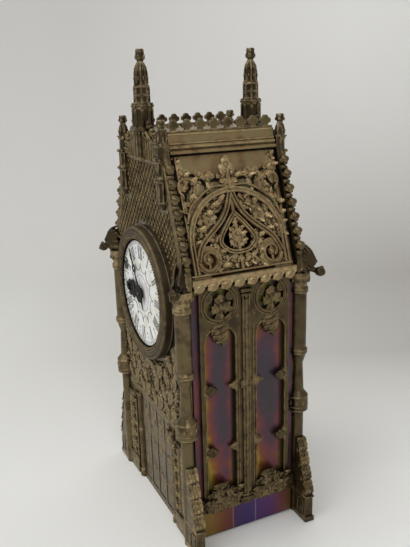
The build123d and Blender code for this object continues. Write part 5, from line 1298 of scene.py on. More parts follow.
    def copings(self, cast: Casting, flank: Flank) -> None:
        """Model the overlapping shingles and panels of the stepped buttress beside a column.

        Args:
            cast: Casting to fill.
            flank: Side that the buttress reaches out to.
        """
        reach, steps = self.coping_reach, self.coping_steps
        foot, top = self.coping_z
        rise = (top - foot) / steps
        for step in range(steps):
            outer = reach - (reach - self.coping_head) * step / steps
            inner = reach - (reach - self.coping_head) * (step + 1) / steps
            z = foot + step * rise + rise * 0.25
            run = Vector((inner - outer, 0, rise * 0.75))
            for start, lean in ((0.62, 112), (1.0, 108)):
                for across in (-1.7, 0.0, 1.7):
                    lift = start + (0.06 if across else 0.0)
                    foot_at = Vector((flank * (outer + run.x * lift + 0.25), across, z + run.z * lift))
                    matrix = Matrix.Translation(foot_at)
                    matrix @= Matrix.Rotation(math.pi / 2 + flank * math.pi, 4, "Z")
                    matrix @= Matrix.Rotation(math.radians(lean), 4, "X") @ Matrix.Rotation(math.pi, 4, "Z")
                    cast.lay("petal", matrix @ Matrix.Diagonal((2.5, 4.4, 2.2, 1.0)))
            for face in BOTH:
                cast.ball((flank * (outer - 2.0), face * 2.3, z - 1.2), (1.1, 0.7, 1.6), 8)
                cast.ball((flank * (outer + 0.1), face * 2.2, z - 0.2), (0.7, 0.8, 0.9), 8)
            cast.block((flank * (outer - 0.4), 0, z - 0.4), (1.6, 5.6, 0.8), 0, 0.25)
        middle = flank * (reach / 2 + 1.0)
        cast.block((middle, 0, 1.4), (reach + 0.8, 5.8, 2.8), 0, 0.4)
        cast.block((middle, 0, 14.8), (reach + 0.6, 5.6, 1.2), 0, 0.4)
        for face in BOTH:
            cast.roll([(flank * x, face * 2.6, z) for x, z in self.foot_panel], 0.35, 0.0, True)


@dataclass
class Spire:
    """Crocketed spire in the middle of a gable, with slender shafts and a crown finial."""

    side: Side
    seat_y: float = 30.0
    # foot, radius at the foot, radius at the top and height of each stage
    stages: Rows = (
        (0.0, 5.5, 5.4, 1.0), (1.0, 5.2, 5.0, 0.9), (1.8, 4.5, 4.4, 9.2), (10.2, 4.7, 4.9, 0.8),
        (11.0, 5.0, 5.1, 0.9), (11.9, 4.7, 4.1, 1.6), (13.2, 3.7, 3.5, 7.4), (16.2, 4.1, 4.0, 0.8),
        (20.2, 4.1, 3.7, 1.0),
    )
    folds: Rows = ((3.0, 21.4), (3.1, 24.0), (2.9, 27.0), (2.4, 29.4), (1.6, 30.9))
    bulb: Rows = ((0, 21.0), (3.0, 21.0), (2.9, 24), (2.7, 27.0), (2.2, 29.4), (1.5, 31.0), (0, 31.0))

    def build(self) -> None:
        """Model the stages of the spire from the seat to the crown."""
        cast = Casting(upright_frame(0, self.side * self.seat_y, SPIRE_SEAT))
        for foot, foot_r, top_r, height in self.stages:
            cast.drum((0, 0, foot), foot_r, top_r, height)
        for step, turn in enumerate(round_angles(8, 22.5)):
            cast.drum(polar(4.6, turn, 1.9), 0.75, 0.7, 8.6, 8)
            cast.ball(polar(4.6, turn, 9.4), (0.9, 0.9, 0.7), 8)
            self.crocket(cast, 4.1, 12.2, turn, 1.0)
            cast.ball(polar(4.9, turn, 11.6), (0.8, 0.8, 0.9), 8)
            if step % 2 == 0:
                for radius, z, size in ((3.5, 15.0, 1.1), (3.4, 17.6, 1.1), (3.2, 21.0, 1.2)):
                    self.crocket(cast, radius, z, turn, size)
            cast.drum(polar(3.55, turn, 13.0), 0.55, 0.5, 7.4, 6)
            cast.take(tube([polar(radius, turn, z) for radius, z in self.folds], 0.55))
        cast.turned(self.bulb, steps=16)
        for z, radius in ((24.4, 3.35), (28.6, 2.75)):
            for turn in round_angles(8):
                cast.ball(polar(radius, turn, z), (0.55, 0.55, 1.0), 8)
        cast.drum((0, 0, 30.4), 1.6, 1.6, 1.6)
        cast.drum((0, 0, 30.9), 2.1, 2.0, 0.5)
        cast.stamp("finial", (0, 0, 31.4), (5.1, 5.1, 6.4))
        self.shaft(cast)
        for way in BOTH:
            cast.stamp("crocket", (way * 5.6, 0, 1.6), 2.6, -way * 70)
            cast.ball((way * 6.8, 0, 3.4), (1.3, 1.3, 1.7), 8)
        cast.carved(f"{self.side.word}_spire", SPIRE_BRONZE)

    def shaft(self, cast: Casting) -> None:
        """Carry the spire down the wall as a half round shaft with ribs.

        Args:
            cast: Casting to fill.
        """
        low = Casting(cast.place)
        low.drum((0, 0, -13.6), 4.9, 4.9, 14.0)
        low.drum((0, 0, -13.8), 5.4, 5.2, 1.0)
        for turn in round_angles(16):
            low.drum(polar(4.75, turn, -13.0), 0.55, 0.55, 13.0, 6)
            low.ball(polar(4.9, turn, -1.2), (0.8, 0.8, 0.7), 8)
        low.trim((0, self.side * 0.9, 0), (0, -self.side, 0))
        cast.join(low)

    def crocket(self, cast: Casting, radius: float, height: float, turn: float, size: float) -> None:
        """Add a crocket that points outwards and a little up."""
        cast.stamp("crocket", polar(radius, turn, height), size, math.degrees(turn) - 90, 25)


@dataclass
class Pinnacle(Spire):
    """Slender pinnacle at the head of a gable slope, half round where it meets the wall."""

    flank: Flank = Flank.LEFT
    foot_z: float = 172.0
    stages: Rows = (
        (3.6, 2.8, 2.7, 9.6), (13.0, 3.3, 3.7, 0.8), (13.8, 3.8, 3.7, 1.0), (14.8, 3.4, 2.9, 1.0),
        (15.6, 2.7, 2.5, 6.6), (22.0, 3.0, 3.3, 0.6), (22.6, 3.4, 3.3, 0.8), (23.4, 2.5, 2.4, 6.0),
        (29.2, 2.9, 3.0, 0.7), (29.9, 3.0, 2.6, 0.8),
    )
    folds: Rows = ((2.1, 31.2), (2.2, 33.2), (1.8, 35.2), (1.2, 36.6))
    bulb: Rows = ((0, 31), (2.1, 31), (2.1, 33.4), (1.7, 35.4), (1.2, 36.6), (0, 36.6))

    def build(self) -> None:
        """Model the half round stages on the wall and the free stages above it."""
        place = upright_frame(self.flank * PINNACLE_X, self.side * WALL_FACE, self.foot_z)
        low = Casting(place)
        low.turned([(0, 0.0), (0.8, 0.0), (2.0, 1.4), (3.1, 3.2), (3.1, 4.0), (0, 4.0)], steps=16)
        for foot, foot_r, top_r, height in self.stages:
            low.drum((0, 0, foot), foot_r, top_r, height)
        for turn in round_angles(8, 22.5):
            low.drum(polar(2.75, turn, 3.8), 0.5, 0.5, 9.4, 6)
            low.drum(polar(2.6, turn, 15.4), 0.45, 0.45, 6.8, 6)
        low.trim((0, -self.side * 1.2, 0), (0, -self.side, 0))
        cast = Casting(place)
        cast.join(low)
        for z, radius in ((14.2, 3.2), (23.0, 2.9)):
            for turn in (-0.9, 0.0, 0.9):
                self.crocket(cast, radius, z, math.copysign(math.pi / 2, self.side) + turn, 1.2)
        cast.drum((0, 0, 30.5), 2.5, 2.5, 0.8)
        cast.turned(self.bulb, steps=12)
        for turn in round_angles(6):
            cast.take(tube([polar(radius, turn, z) for radius, z in self.folds], 0.5))
            cast.ball(polar(2.4, turn, 33.0), (0.5, 0.5, 0.8), 8)
            self.crocket(cast, 2.6, 30.4, turn, 0.8)
        cast.drum((0, 0, 36.4), 1.2, 1.2, 1.0)
        cast.stamp("finial", (0, 0, 37.0), (4.8, 4.8, 4.3))
        cast.carved(f"{self.side.word}_{self.flank.word}_pinnacle", SPIRE_BRONZE)


@dataclass
class Gargoyle:
    """Winged beast that leans out from a column capital."""

    side: Side
    flank: Flank
    turn: float = 40.0
    wing_tip: float = 42.0
    # middle, radii and tip of each lump of the body and the head
    lumps: tuple[tuple[Point, object, float], ...] = (
        ((0.4, 0, 1.4), (4.4, 4.2, 2.0), 0), ((2.2, 0, 3.6), (3.8, 3.2, 3.4), 0),
        ((5.0, 0, 2.6), (2.4, 2.1, 2.1), 0), ((6.8, 0, 1.6), (1.8, 1.6, 1.5), 0),
        ((8.4, 0, 1.0), (1.6, 1.3, 1.3), 0), ((10.6, 0, 0.8), (2.7, 2.6, 2.4), 0),
        ((3.2, 0, 6.6), (5.2, 1.9, 2.4), 42), ((12.2, 1.0, 0.0), 1.05, 0), ((12.2, -1.0, 0.0), 1.05, 0),
        ((11.4, 0, 2.7), 1.1, 0), ((10.6, 2.1, 1.7), 1.0, 0), ((10.6, -2.1, 1.7), 1.0, 0),
        ((11.2, 0, -1.0), 0.8, 0), ((3.6, 2.6, 1.2), (1.8, 1.2, 1.6), 0),
        ((3.6, -2.6, 1.2), (1.8, 1.2, 1.6), 0),
    )
    ribs: int = 4
    voxel: float = 0.28

    def build(self) -> None:
        """Model the body, the ribbed wings and the knobbed head, and melt them together."""
        out = math.radians(self.turn)
        way = math.degrees(math.atan2(self.side * math.sin(out), self.flank * math.cos(out)))
        cast = Casting(upright_frame(self.flank * COLUMN_AT[0], self.side * COLUMN_AT[1], COLUMN_TOP, way))
        for centre, radii, tip in self.lumps:
            cast.ball(centre, radii, 14, 0, tip)
        for hand in BOTH:
            cast.ball((3.2, hand * 1.5, 6.4), (5.4, 1.0, 2.5), 14, 0, self.wing_tip)
            for rib in range(self.ribs):
                lift = rib * 1.45
                knots = (
                    (-1.6 + lift * 0.9, hand * 1.3, 8.4 + lift * 1.1),
                    (2.6 + lift * 0.6, hand * (2.1 - rib * 0.2), 6.7 + lift * 0.9),
                    (6.0 + lift * 0.35, hand * (2.2 - rib * 0.3), 4.4 + lift * 0.5),
                    (7.6 + lift * 0.2, hand * 1.4, 3.4 + lift * 0.35),
                )
                cast.take(tube(flowing(knots), 0.78))
        cast.fuse(self.voxel)
        cast.carved(f"{self.side.word}_{self.flank.word}_gargoyle", SPIRE_BRONZE)


@dataclass
class TraceryDress:
    """Mouldings, cusp brackets and leaves on one pierced side frame."""

    flank: Flank
    jamb: float = 22.2
    mullion: float = 5.8
    light_foot: float = 18.0
    light_head: float = 116.5
    cusps: tuple[float, float] = (51.0, 85.0)
    cusp_turns: tuple[float, ...] = (0, 0.4, 0.8, 1.2, 1.57)
    plate_back: float = -1.9
    roundel_z: float = 128.6
    roundel_r: float = 7.6
    hanging_leaf: Rows = (
        (-3.2, 118.4), (-4.6, 115.8), (-1.8, 115.2), (-3.8, 112.6), (-0.6, 112.0), (-2.2, 109.4),
        (0.6, 109.0), (1.8, 106.6), (3.6, 109.4), (4.4, 113.0), (4.4, 118.4),
    )
    # near x and z, far x and z of each rib of the hanging leaf
    hanging_ribs: Rows = ((-4.2, 115.9, 3.9, 117.4), (-3.4, 112.7, 3.9, 114.6), (-1.8, 109.6, 3.4, 111.6))
    sill_seed: int = 23
    shafts: Rows = ((0.0, 0.8, 0.5), (1.7, 0.4, 0.6), (-1.7, 0.4, 0.6))
    # height, width, tallness and stand of each block on the mullion
    blocks: Rows = (
        (86.0, 6.4, 0.8, 1.5), (84.6, 5.8, 1.6, 1.2), (83.2, 6.4, 0.8, 1.5), (18.4, 8.4, 3.0, 1.8),
        (21.4, 7.0, 1.2, 2.0), (131.4, 5.6, 1.6, 1.6), (133.6, 6.6, 1.8, 2.2),
    )

    def build(self) -> None:
        """Model the mouldings of both lights, the mullion, the sill and the roundels."""
        cast = Casting(flank_frame(self.flank))
        for way in BOTH:
            x = way * (self.mullion + self.jamb) / 2
            self.light_edge(cast, way, self.jamb, -1)
            self.light_edge(cast, way, self.mullion, 1)
            self.head(cast, x)
            self.sill(cast, x)
        self.middle(cast)
        cast.piece(f"{self.flank.word}_tracery_relief", SIDE_BRONZE)

    def light_edge(self, cast: Casting, way: int, edge: float, inward: int) -> None:
        """Model one upright edge of a light with its two cusp brackets.

        Args:
            cast: Casting to fill.
            way: Which light, left or right of the mullion.
            edge: Distance of the edge from the middle.
            inward: Whether the light lies outside (1) or inside (-1) of the edge.
        """
        step = way * inward
        x = way * edge - step * 0.3
        reach, hook = (4.2, 0.9) if inward < 0 else (3.0, 0.4)
        line = [(x, self.light_foot)]
        for z in self.cusps:
            lower = [
                (x + step * (reach - reach * math.cos(t)), z - hook - reach + reach * math.sin(t))
                for t in self.cusp_turns
            ]
            upper = [(px, 2 * z - pz) for px, pz in reversed(lower)]
            back = x - step * 0.8
            outline = [(back, z - hook - reach)] + lower + upper + [(back, z + hook + reach)]
            cast.plate(outline, self.plate_back, 2.0)
            line += lower + upper
            if inward < 0:
                cast.stamp("crocket", (x + step * 0.4, z, 0.1), (3.9, 4.6, 3.4), -90 * step)
            else:
                cast.stamp("petal", (x + step * (reach - 2.4), z, -0.2), (2.6, 3.6, 2.4), -90 * step)
        bend = self.light_head
        for along, rise in ((0.0, -6), (0.8, -3.2), (3.0, -0.8), (6.5, 0.6)):
            line.append((x + step * along, bend + rise))
        cast.roll(line, 0.36 if inward < 0 else 0.5, 0.0)
        if inward > 0:
            inner = x - step * 1.4
            cast.roll([(inner, self.light_foot), (inner, bend - 1)], 0.4, -0.05)

    def head(self, cast: Casting, x: float) -> None:
        """Model the roundel with its trefoil leaf and the stepped leaf that hangs in a light.

        Args:
            cast: Casting to fill.
            x: Middle of the light.
        """
        for more, thick in ((0.6, 0.8), (1.9, 0.4)):
            cast.ring((x, self.roundel_z), self.roundel_r + more, thick, 0.0, 32)
        heart = (x + 0.9, self.roundel_z - 0.8, -0.9)
        for turn, size in ((5, 5.6), (122, 5.8), (242, 6.2)):
            cast.stamp("curled", heart, (size * 1.15, size, size * 0.4), turn)
            cast.stamp("leaf", heart, (size * 0.7, size * 0.8, size * 0.5), turn + 34)
        cast.ball((heart[0], heart[1], -0.4), (1.6, 1.6, 1.2), 10)
        cast.roll([(x + 0.9, self.roundel_z - 0.9), (x + 0.7, self.roundel_z - 8)], 0.9, -0.3)
        cast.plate([(x + along, z) for along, z in self.hanging_leaf], self.plate_back, 2.1)
        for near_x, near_z, far_x, far_z in self.hanging_ribs:
            sag = (x + (near_x + far_x) / 2, (near_z + far_z) / 2 - 0.6)
            cast.roll(flowing([(x + near_x, near_z), sag, (x + far_x, far_z)]), 0.75, 0.2)
            cast.stamp("dot", (x + near_x, near_z, 0.4), 0.95)
        cast.stamp("berry", (x, 119.4, 0.4), 1.0)

    def sill(self, cast: Casting, x: float) -> None:
        """Model the heap of leaves at the foot of a light.

        Args:
            cast: Casting to fill.
            x: Middle of the light.
        """
        draw = random.Random(self.sill_seed)
        for count in range(24):
            row = count // 8
            along = (count % 8 - 3.5) * 2.2 + (1.1 if row == 1 else 0.0)
            if row == 2 and abs(along) > 5.4:
                continue
            foot_z = 18.4 + row * 4.2
            size = draw.uniform(4.8, 6.2)
            at = (x + along, foot_z + draw.uniform(-0.6, 0.8), draw.uniform(-0.5, 0.2))
            cast.stamp("cinquefoil", at, (size, size, size * 0.75), draw.uniform(0, 72))
            if draw.random() < 0.6:
                at = (x + along, foot_z + 1.0, -0.4)
                spin = -along * 3 + draw.uniform(-20, 20)
                cast.stamp("curled", at, (size * 0.9, size, size * 0.6), spin, 6)
        cast.roll([(x - 9.8, 16.8), (x + 9.8, 16.8)], 0.7, 0.0)

    def middle(self, cast: Casting) -> None:
        """Model the clustered shafts of the mullion with their base, ring and capital.

        Args:
            cast: Casting to fill.
        """
        for x, radius, lift in self.shafts:
            cast.roll([(x, 18), (x, 131)], radius, lift, False, 2)
        for z, wide, tall, proud in self.blocks:
            cast.block((0, z, proud / 2 - 0.3), (wide, tall, proud), 0, 0.4)
        for way in BOTH:
            cast.ball((way * 4.4, 121.4, -0.2), (1.0, 1.5, 0.7), 8, way * 30)
        cast.stamp("leaf", (0, 117.0, 0.9), (3.4, 5.0, 2.4), 180, 4)


@dataclass
class RoofDress:
    """Beaded strips, sprays of curled leaves and fleuron on one pierced roof slope."""

    flank: Flank
    ring: float = 24.4
    arch_foot: float = 15.79
    eye: float = 5.38
    low: float = 8.18
    volute_x: float = 16.9
    seed: int = 5
    # x, y and size of each spray, one half of them
    within: Rows = (
        (7.0, 35.6, 5.4), (11.4, 32.6, 6.6), (16.4, 28.6, 7.0), (20.4, 22.6, 6.4), (13.4, 26.2, 5.4),
        (22.2, 16.6, 4.6), (16.6, 20.0, 4.8), (11.6, 16.4, 4.8), (10.2, 11.4, 5.0), (5.4, 6.6, 5.2),
        (10.2, 4.2, 5.0), (22.8, 3.4, 3.6), (2.2, 5.6, 4.4),
    )
    above: Rows = (
        (11.2, 45.8, 5.6), (19.6, 44.4, 6.0), (21.6, 37.2, 5.0), (24.6, 32.4, 5.0), (25.2, 26.6, 4.2),
        (25.4, 21.6, 3.8), (25.6, 16.8, 3.4), (22.4, 48.4, 4.6), (25.4, 50.6, 4.2), (25.6, 55.0, 3.6),
        (15.2, 47.0, 4.0), (11.2, 41.6, 4.0), (18.8, 40.2, 4.0),
    )
    # x, y, radius and angles of each piercing, one half of them, laid as a flat black crescent of painted
    # shade
    piercings: Rows = (
        (25.2, 38.8, 2.4, 70, 230), (15.2, 43.6, 2.9, 70, 220), (7.4, 43.8, 2.3, 20, 160),
        (22.6, 43.2, 2.6, 130, 280), (26.0, 46.4, 1.4, 250, 420), (12.8, 38.2, 1.7, 300, 440),
        (25.4, 29.6, 1.4, 60, 240), (18.6, 47.6, 1.5, 30, 190),
    )
    inner_stems: tuple[Rows, ...] = (
        ((3.6, 37.0), (9, 32.4), (15, 25.6), (20.6, 18.4)), ((2.4, 9.6), (7, 7.0), (11.4, 2.6)),
    )
    outer_stem: Rows = ((1.0, 41.6), (7, 42.4), (12.5, 40.6), (17.5, 37.2), (22.2, 33.0), (24.8, 26))
    # height, radius and distance from the middle of each roll of the deck's edge
    deck_rolls: Rows = ((198.3, 0.85, 28.0), (200.6, 0.55, 27.3), (202.2, 0.4, 26.5), (206.4, 0.5, 25.5))
    tongues: int = 8

    def build(self) -> None:
        """Model the arch, the strips, the leaves, the painted shade of the piercings, the deck rolls and the
        eave.
        """
        cast = Casting(roof_frame(self.flank))
        self.strips(cast)
        self.leaves(cast)
        cast.piece(f"{self.flank.word}_roof_relief", ROOF_BRONZE)
        self.shadows()
        self.eave()

    def strips(self, cast: Casting) -> None:
        """Model the double beads along the arch, the parted strips, the heart and the volutes.

        Args:
            cast: Casting to fill.
        """
        ring, eye, low = self.ring, self.eye, self.low
        top = self.arch_foot + ring
        arch = arc((0, self.arch_foot), ring, 0, 180, 36)
        arch = [Vector((ring, 2.0, 0)), *arch, Vector((-ring, 2.0, 0))]
        strip = (
            (0.4, top), (ring * 0.11, top - ring * 0.30), (ring * 0.31, top - ring * 0.60),
            (ring * 0.76, low + eye * 1.45), (self.volute_x + eye, low),
        )
        heart = (
            (0, top - ring * 0.46), (ring * 0.22, top - ring * 0.72), (ring * 0.38, low + eye * 1.4),
            (ring * 0.22, low + eye * 0.55), (0, low + eye * 0.35),
        )
        for shift in (-0.85, 0.85):
            cast.roll(beside(arch, shift), 0.62, 0.75)
        for way in BOTH:
            middle = Vector((way * self.volute_x, low, 0))
            start, end = (0, -420) if way > 0 else (180, 600)
            curl = arc((way * self.volute_x, low), eye, start, end, 30)[1:]
            shares = [0.68 * (index / len(curl)) ** 1.3 for index in range(len(curl))]
            whorl = [point + (middle - point) * share for point, share in zip(curl, shares)]
            for shift in (-0.8, 0.8):
                cast.roll(beside(flowing(flipped(strip, way)), shift), 0.6, 0.3)
            cast.roll(whorl, 0.85, 0.2)
            cast.ball(middle, (1.5, 1.5, 1.1), 10)
            for shift in (-0.62, 0.62):
                cast.roll(beside(flowing(flipped(heart, way)), shift), 0.52, 0.25)
            cast.roll([(way * 25.5, 1), (way * 25.5, 57.5)], 0.6, 0.2)
        cast.roll([(-27, 1.4), (27, 1.4)], 0.7, 0.0)

    def leaves(self, cast: Casting) -> None:
        """Model the curled leaves in and round the arch and the fleuron at its crown.

        Args:
            cast: Casting to fill.
        """
        draw = random.Random(self.seed)
        for spots, lift, tall in ((self.within, -1.0, 0.62), (self.above, -0.15, 0.42)):
            for x, y, size in spots:
                spin = draw.uniform(-40, 40) - 60
                for way in BOTH:
                    self.spray(cast, (way * x, y, lift), size, tall, way * spin)
                    low = (size * 1.5, size * 1.5, size * 0.4)
                    cast.stamp("cinquefoil", (way * x, y, lift - 0.3), low, way * spin)
        for way in BOTH:
            for stem in self.inner_stems:
                cast.roll(flowing(flipped(stem, way)), 0.7, -0.5)
            cast.roll(arc((way * 22.4, 43.0), 4.2, 90 - way * 150, 90 + way * 130, 18), 0.8, 0.5)
            cast.roll(flowing(flipped(self.outer_stem, way)), 0.8, 0.5)
            self.spray(cast, (way * 3.4, 46.4, 0.2), 4.6, 0.5, -way * 70)
        # heart: a small sprig with dots and a berry
        cast.roll([(0, 10.4), (0, 21)], 0.7, -0.5)
        for y, size in ((12.4, 5.6), (15.8, 5.6), (19.2, 4.6)):
            for way in BOTH:
                cast.stamp("curled", (way * 0.3, y, -0.9), (size * 0.85, size, size * 0.5), -way * 50)
                cast.stamp("dot", (way * 2.2, y + 2.0, 0.4), 0.6)
        cast.stamp("curled", (0, 20.6, -0.8), (4.0, 5.8, 2.6))
        cast.stamp("berry", (0, 18.6, 0.3), 1.0)
        # fleuron over the crown
        cast.roll([(0, 40), (0, 50)], 1.2, 0.5)
        cast.stamp("trefoil", (0, 52.0, 0.3), (9.6, 8.8, 4.6))
        cast.ball((0, 52.0, 1.1), (1.3, 1.3, 0.9), 10)
        for way in BOTH:
            cast.ball((way * 2.6, 48.2, 0.4), (1.9, 1.3, 1.1), 10, way * 30)

    def spray(self, cast: Casting, middle: Point, size: float, tall: float, spin: float) -> None:
        """Lay three curled leaves and a dot round a point.

        Args:
            cast: Casting to fill.
            middle: Place of the dot.
            size: Length of a leaf.
            tall: Height of a leaf as a share of its length.
            spin: Turn of the middle leaf in degrees.
        """
        for fan in (-105, 0, 105):
            cast.stamp("curled", middle, (size * 0.95, size * 0.72, size * tall), spin + fan)
        cast.stamp("dot", (middle[0], middle[1], middle[2] + size * tall * 0.5), size * 0.15)

    def shadows(self) -> None:
        """Model flat black plates of painted shade in the piercings above the arch and in the gaps beside and
        above the panel.
        """
        cast = Casting(roof_frame(self.flank))
        for way in BOTH:
            for x, y, radius, start, end in self.piercings:
                turn = (start, end) if way > 0 else (180 - start, 180 - end)
                self.crescent(cast, (way * x, y), radius, turn, 1.35)
            # flat black strips of painted shadow in the gaps beside the panel
            at, wide = (26.95, 2.1) if way * self.flank < 0 else (27.6, 0.6)
            cast.block((way * at, 29.0, 0.2), (wide, 57.0, 0.6))
        # a flat black roll of painted shadow under the deck's overhang
        cast.roll([(-27.6, 58.4), (27.6, 58.4)], 0.55, 0.5)
        cast.piece(f"{self.flank.word}_roof_painted_shade", SHADE_BLACK)

    def crescent(
        self, cast: Casting, centre: Point, radius: float, turn: tuple[float, float], wide: float,
        steps: int = 10,
    ) -> None:
        """Lay one thin crescent.

        Args:
            cast: Casting to fill.
            centre: Centre of its outer arc.
            radius: Radius of its outer arc.
            turn: First and last angle in degrees.
            wide: Width at its middle.
            steps: Number of spans along it.
        """
        outer = arc(centre, radius, *turn, steps)
        hub = Vector((*centre, 0))
        inner = []
        for index, point in enumerate(outer):
            share = math.sin(math.pi * (index + 1) / (steps + 2))
            inner.append(hub + (point - hub) * (1 - wide / radius * share))
        cast.plate(outer + inner[::-1], -0.2, 1.25)

    def eave(self) -> None:
        """Model the rolls of the deck's edge and the slanted drooping tongues of the eave."""
        cast = Casting(flank_frame(self.flank, 0.0))
        for z, radius, out in (*self.deck_rolls, (141.3, 0.8, 48.0)):
            cast.roll([(-28, z), (28, z)], radius, out, False, 2)
        for count in range(self.tongues):
            x = -24.5 + count * 7.0
            cast.ball((x - 0.2, 138.5, 48.1), (2.9, 1.5, 1.3), 12, 26)
            cast.ball((x - 2.0, 137.3, 48.3), (1.3, 1.1, 1.0), 10, 26)
            cast.ball((x + 2.9, 139.2, 48.0), (1.4, 0.9, 1.0), 10, 26)
        cast.piece(f"{self.flank.word}_eave_and_deck_rolls", ROOF_BRONZE)


@dataclass
class Cresting:
    """Row of trefoil merlons along one edge of the roof deck."""

    flank: Flank
    middle: float = 24.1
    thick: float = 1.8
    merlons: int = 8
    pitch: float = 7.0

    def build(self) -> None:
        """Model the base and the trefoil heads."""
        cast = Casting(flank_frame(self.flank, self.middle))
        cast.block((0, DECK_TOP + 0.45, 0), (56.0, 0.9, self.thick + 0.3), 0, 0.2)
        right = [Vector((1.7, 0.6, 0)), Vector((1.25, 1.2, 0)), Vector((1.2, 2.0, 0))]
        right += arc((1.5, 3.3), 1.35, -75, 80, 8)
        right += arc((0.0, 4.65), 1.4, 8, 76, 5)
        outline = mirrored(right + [Vector((0.0, 6.05, 0))])
        for count in range(self.merlons):
            x = (count - (self.merlons - 1) / 2) * self.pitch
            cast.plate([(x + point.x, DECK_TOP + point.y) for point in outline], -self.thick / 2, self.thick)
        cast.carved(f"{self.flank.word}_cresting", BRONZE)


@dataclass
class DialDress:
    """Painted numerals, scallops and minute track on the enamel."""

    face: float = 35.6
    numeral_r: tuple[float, float] = (18.4, 24.8)
    track_r: tuple[float, float] = (26.0, 27.8)
    rings: Rows = ((25.9, 0.09), (28.0, 0.09), (9.6, 0.12))
    film: float = 0.06
    numerals: tuple[str, ...] = ("I", "II", "III", "IIII", "V", "VI", "VII", "VIII", "IX", "X", "XI", "XII")

    def build(self) -> None:
        """Model every mark as a thin raised film."""
        cast = Casting(wall_frame(Side.FRONT, self.face))
        inner, outer = self.track_r
        for minute in range(60):
            wide = 0.75 if minute % 5 == 0 else 0.32
            self.bar(cast, 6.0 * minute, (inner + outer) / 2, (wide, outer - inner))
        for radius, thick in self.rings:
            cast.ring((0, DIAL_Z), radius, thick, 0.0, 96, 0)
        for hour, word in enumerate(self.numerals, 1):
            degrees = 30.0 * hour
            self.numeral(cast, degrees, word)
            lean = 90 - degrees + 15
            hub = polar(16.4, math.radians(lean), 0.0, DIAL_Z)
            cast.roll(arc(hub, 4.3, lean + 112, lean + 248, 10), 0.17, 0.0)
            self.bar(cast, degrees - 15, 21.4, (1.0, 1.0), lean=45)
            self.bar(cast, degrees - 15, 23.6, (0.4, 1.8))
            self.bar(cast, degrees, 15.6, (0.8, 0.8), lean=45)
        cast.piece("dial_marks", PAINT)

    def bar(
        self, cast: Casting, degrees: float, radius: float, size: Point, shift: float = 0.0, lean: float = 0.0
    ) -> None:
        """Add one painted stroke.

        Args:
            cast: Casting to fill.
            degrees: Clockwise angle from twelve.
            radius: Distance of its middle from the centre.
            size: Its width and length.
            shift: Sideways shift, clockwise.
            lean: Its own lean in degrees.
        """
        turn = math.radians(degrees)
        x = radius * math.sin(turn) + shift * math.cos(turn)
        z = DIAL_Z + radius * math.cos(turn) - shift * math.sin(turn)
        cast.block((x, z, self.film / 2), (size[0], size[1], self.film), -degrees + lean)

    def numeral(self, cast: Casting, degrees: float, word: str) -> None:
        """Paint one numeral with its feet towards the centre.

        Args:
            cast: Casting to fill.
            degrees: Clockwise angle from twelve.
            word: The numeral.
        """
        widths = {"I": 1.35, "V": 3.3, "X": 3.5}
        foot, top = self.numeral_r
        tall = top - foot
        middle = (foot + top) / 2
        slant = math.degrees(math.atan2(1.15, tall))
        wide = sum(widths[letter] for letter in word)
        cursor = -wide / 2
        for letter in word:
            at = cursor + widths[letter] / 2
            cursor += widths[letter]
            if letter == "I":
                self.bar(cast, degrees, middle, (0.8, tall), at)
            elif letter == "V":
                self.bar(cast, degrees, middle, (0.85, tall), at - 0.65, slant)
                self.bar(cast, degrees, middle, (0.35, tall), at + 0.65, -slant)
            else:
                self.bar(cast, degrees, middle, (0.85, tall * 1.04), at, 2 * slant)
                self.bar(cast, degrees, middle, (0.35, tall * 1.04), at, -2 * slant)
        for radius in (foot, top):
            self.bar(cast, degrees, radius, (wide, 0.28))


@dataclass
class HandDress:
    """Trefoil head of the hour hand and round boss of the minute hand."""

    hour_turn: float = 267.5
    hour_front: float = 36.5
    minute_front: float = 37.2
    # distance along the hand, distance from its middle and radius of each lobe
    lobes: Rows = ((15.4, 2.4, 2.3), (15.4, -2.4, 2.3), (18.9, 0.0, 2.5), (16.2, 0.0, 2.3))
    boss: Rows = ((0, 0), (4.9, 0), (4.9, 0.25), (4.3, 0.5), (3.6, 0.32), (2.8, 0.5), (0, 0.55))

    def build(self) -> None:
        """Model both, each on its own hand."""
        turn = math.radians(self.hour_turn)
        along = Vector((math.sin(turn), math.cos(turn), 0))
        across = Vector((-along.y, along.x, 0))
        trefoil = Casting(wall_frame(Side.FRONT, self.hour_front))
        for far, side, radius in self.lobes:
            at = along * far + across * side
            trefoil.drum((at.x, DIAL_Z + at.y, 0.0), radius, radius * 0.94, 0.2, 20)
        trefoil.piece("hour_hand_trefoil", BLACK_STEEL, "hour_hand")
        boss = Casting(wall_frame(Side.FRONT, self.minute_front))
        boss.turned(self.boss, (0, DIAL_Z, 0), 32)
        boss.piece("minute_hand_boss", BLACK_STEEL, "minute_hand")


@dataclass
class BezelDress:
    """Beads, rolls and dark teeth of the bezel in front of the dial."""

    front: float = 37.4
    beads: int = 120
    bead_r: float = 29.5
    teeth_r: float = 28.2
    # radius, thickness and lift of each roll
    rolls: Rows = ((30.8, 0.45, -0.1), (32.2, 0.35, -0.1), (34.4, 0.5, -0.6), (35.0, 0.4, -4.6))

    def build(self) -> None:
        """Model the beads and rolls of the bezel and the dark teeth of painted shade in its sight edge."""
        cast = Casting(wall_frame(Side.FRONT, self.front))
        for turn in round_angles(self.beads):
            cast.stamp("dot", polar(self.bead_r, turn, -0.3, DIAL_Z), (0.7, 0.7, 0.8))
        for radius, thick, lift in self.rolls:
            cast.ring((0, DIAL_Z), radius, thick, lift, 96)
        cast.piece("bezel_beads", BEZEL_BRONZE)
        # flat black teeth paint the shade in the knurled sight edge
        teeth = Casting(wall_frame(Side.FRONT, self.front - 1.3))
        for turn in round_angles(self.beads):
            teeth.block(polar(self.teeth_r, turn, 0, DIAL_Z), (1.0, 0.78, 0.9), math.degrees(turn), 0.15)
        teeth.piece("bezel_teeth", SHADE_BLACK)


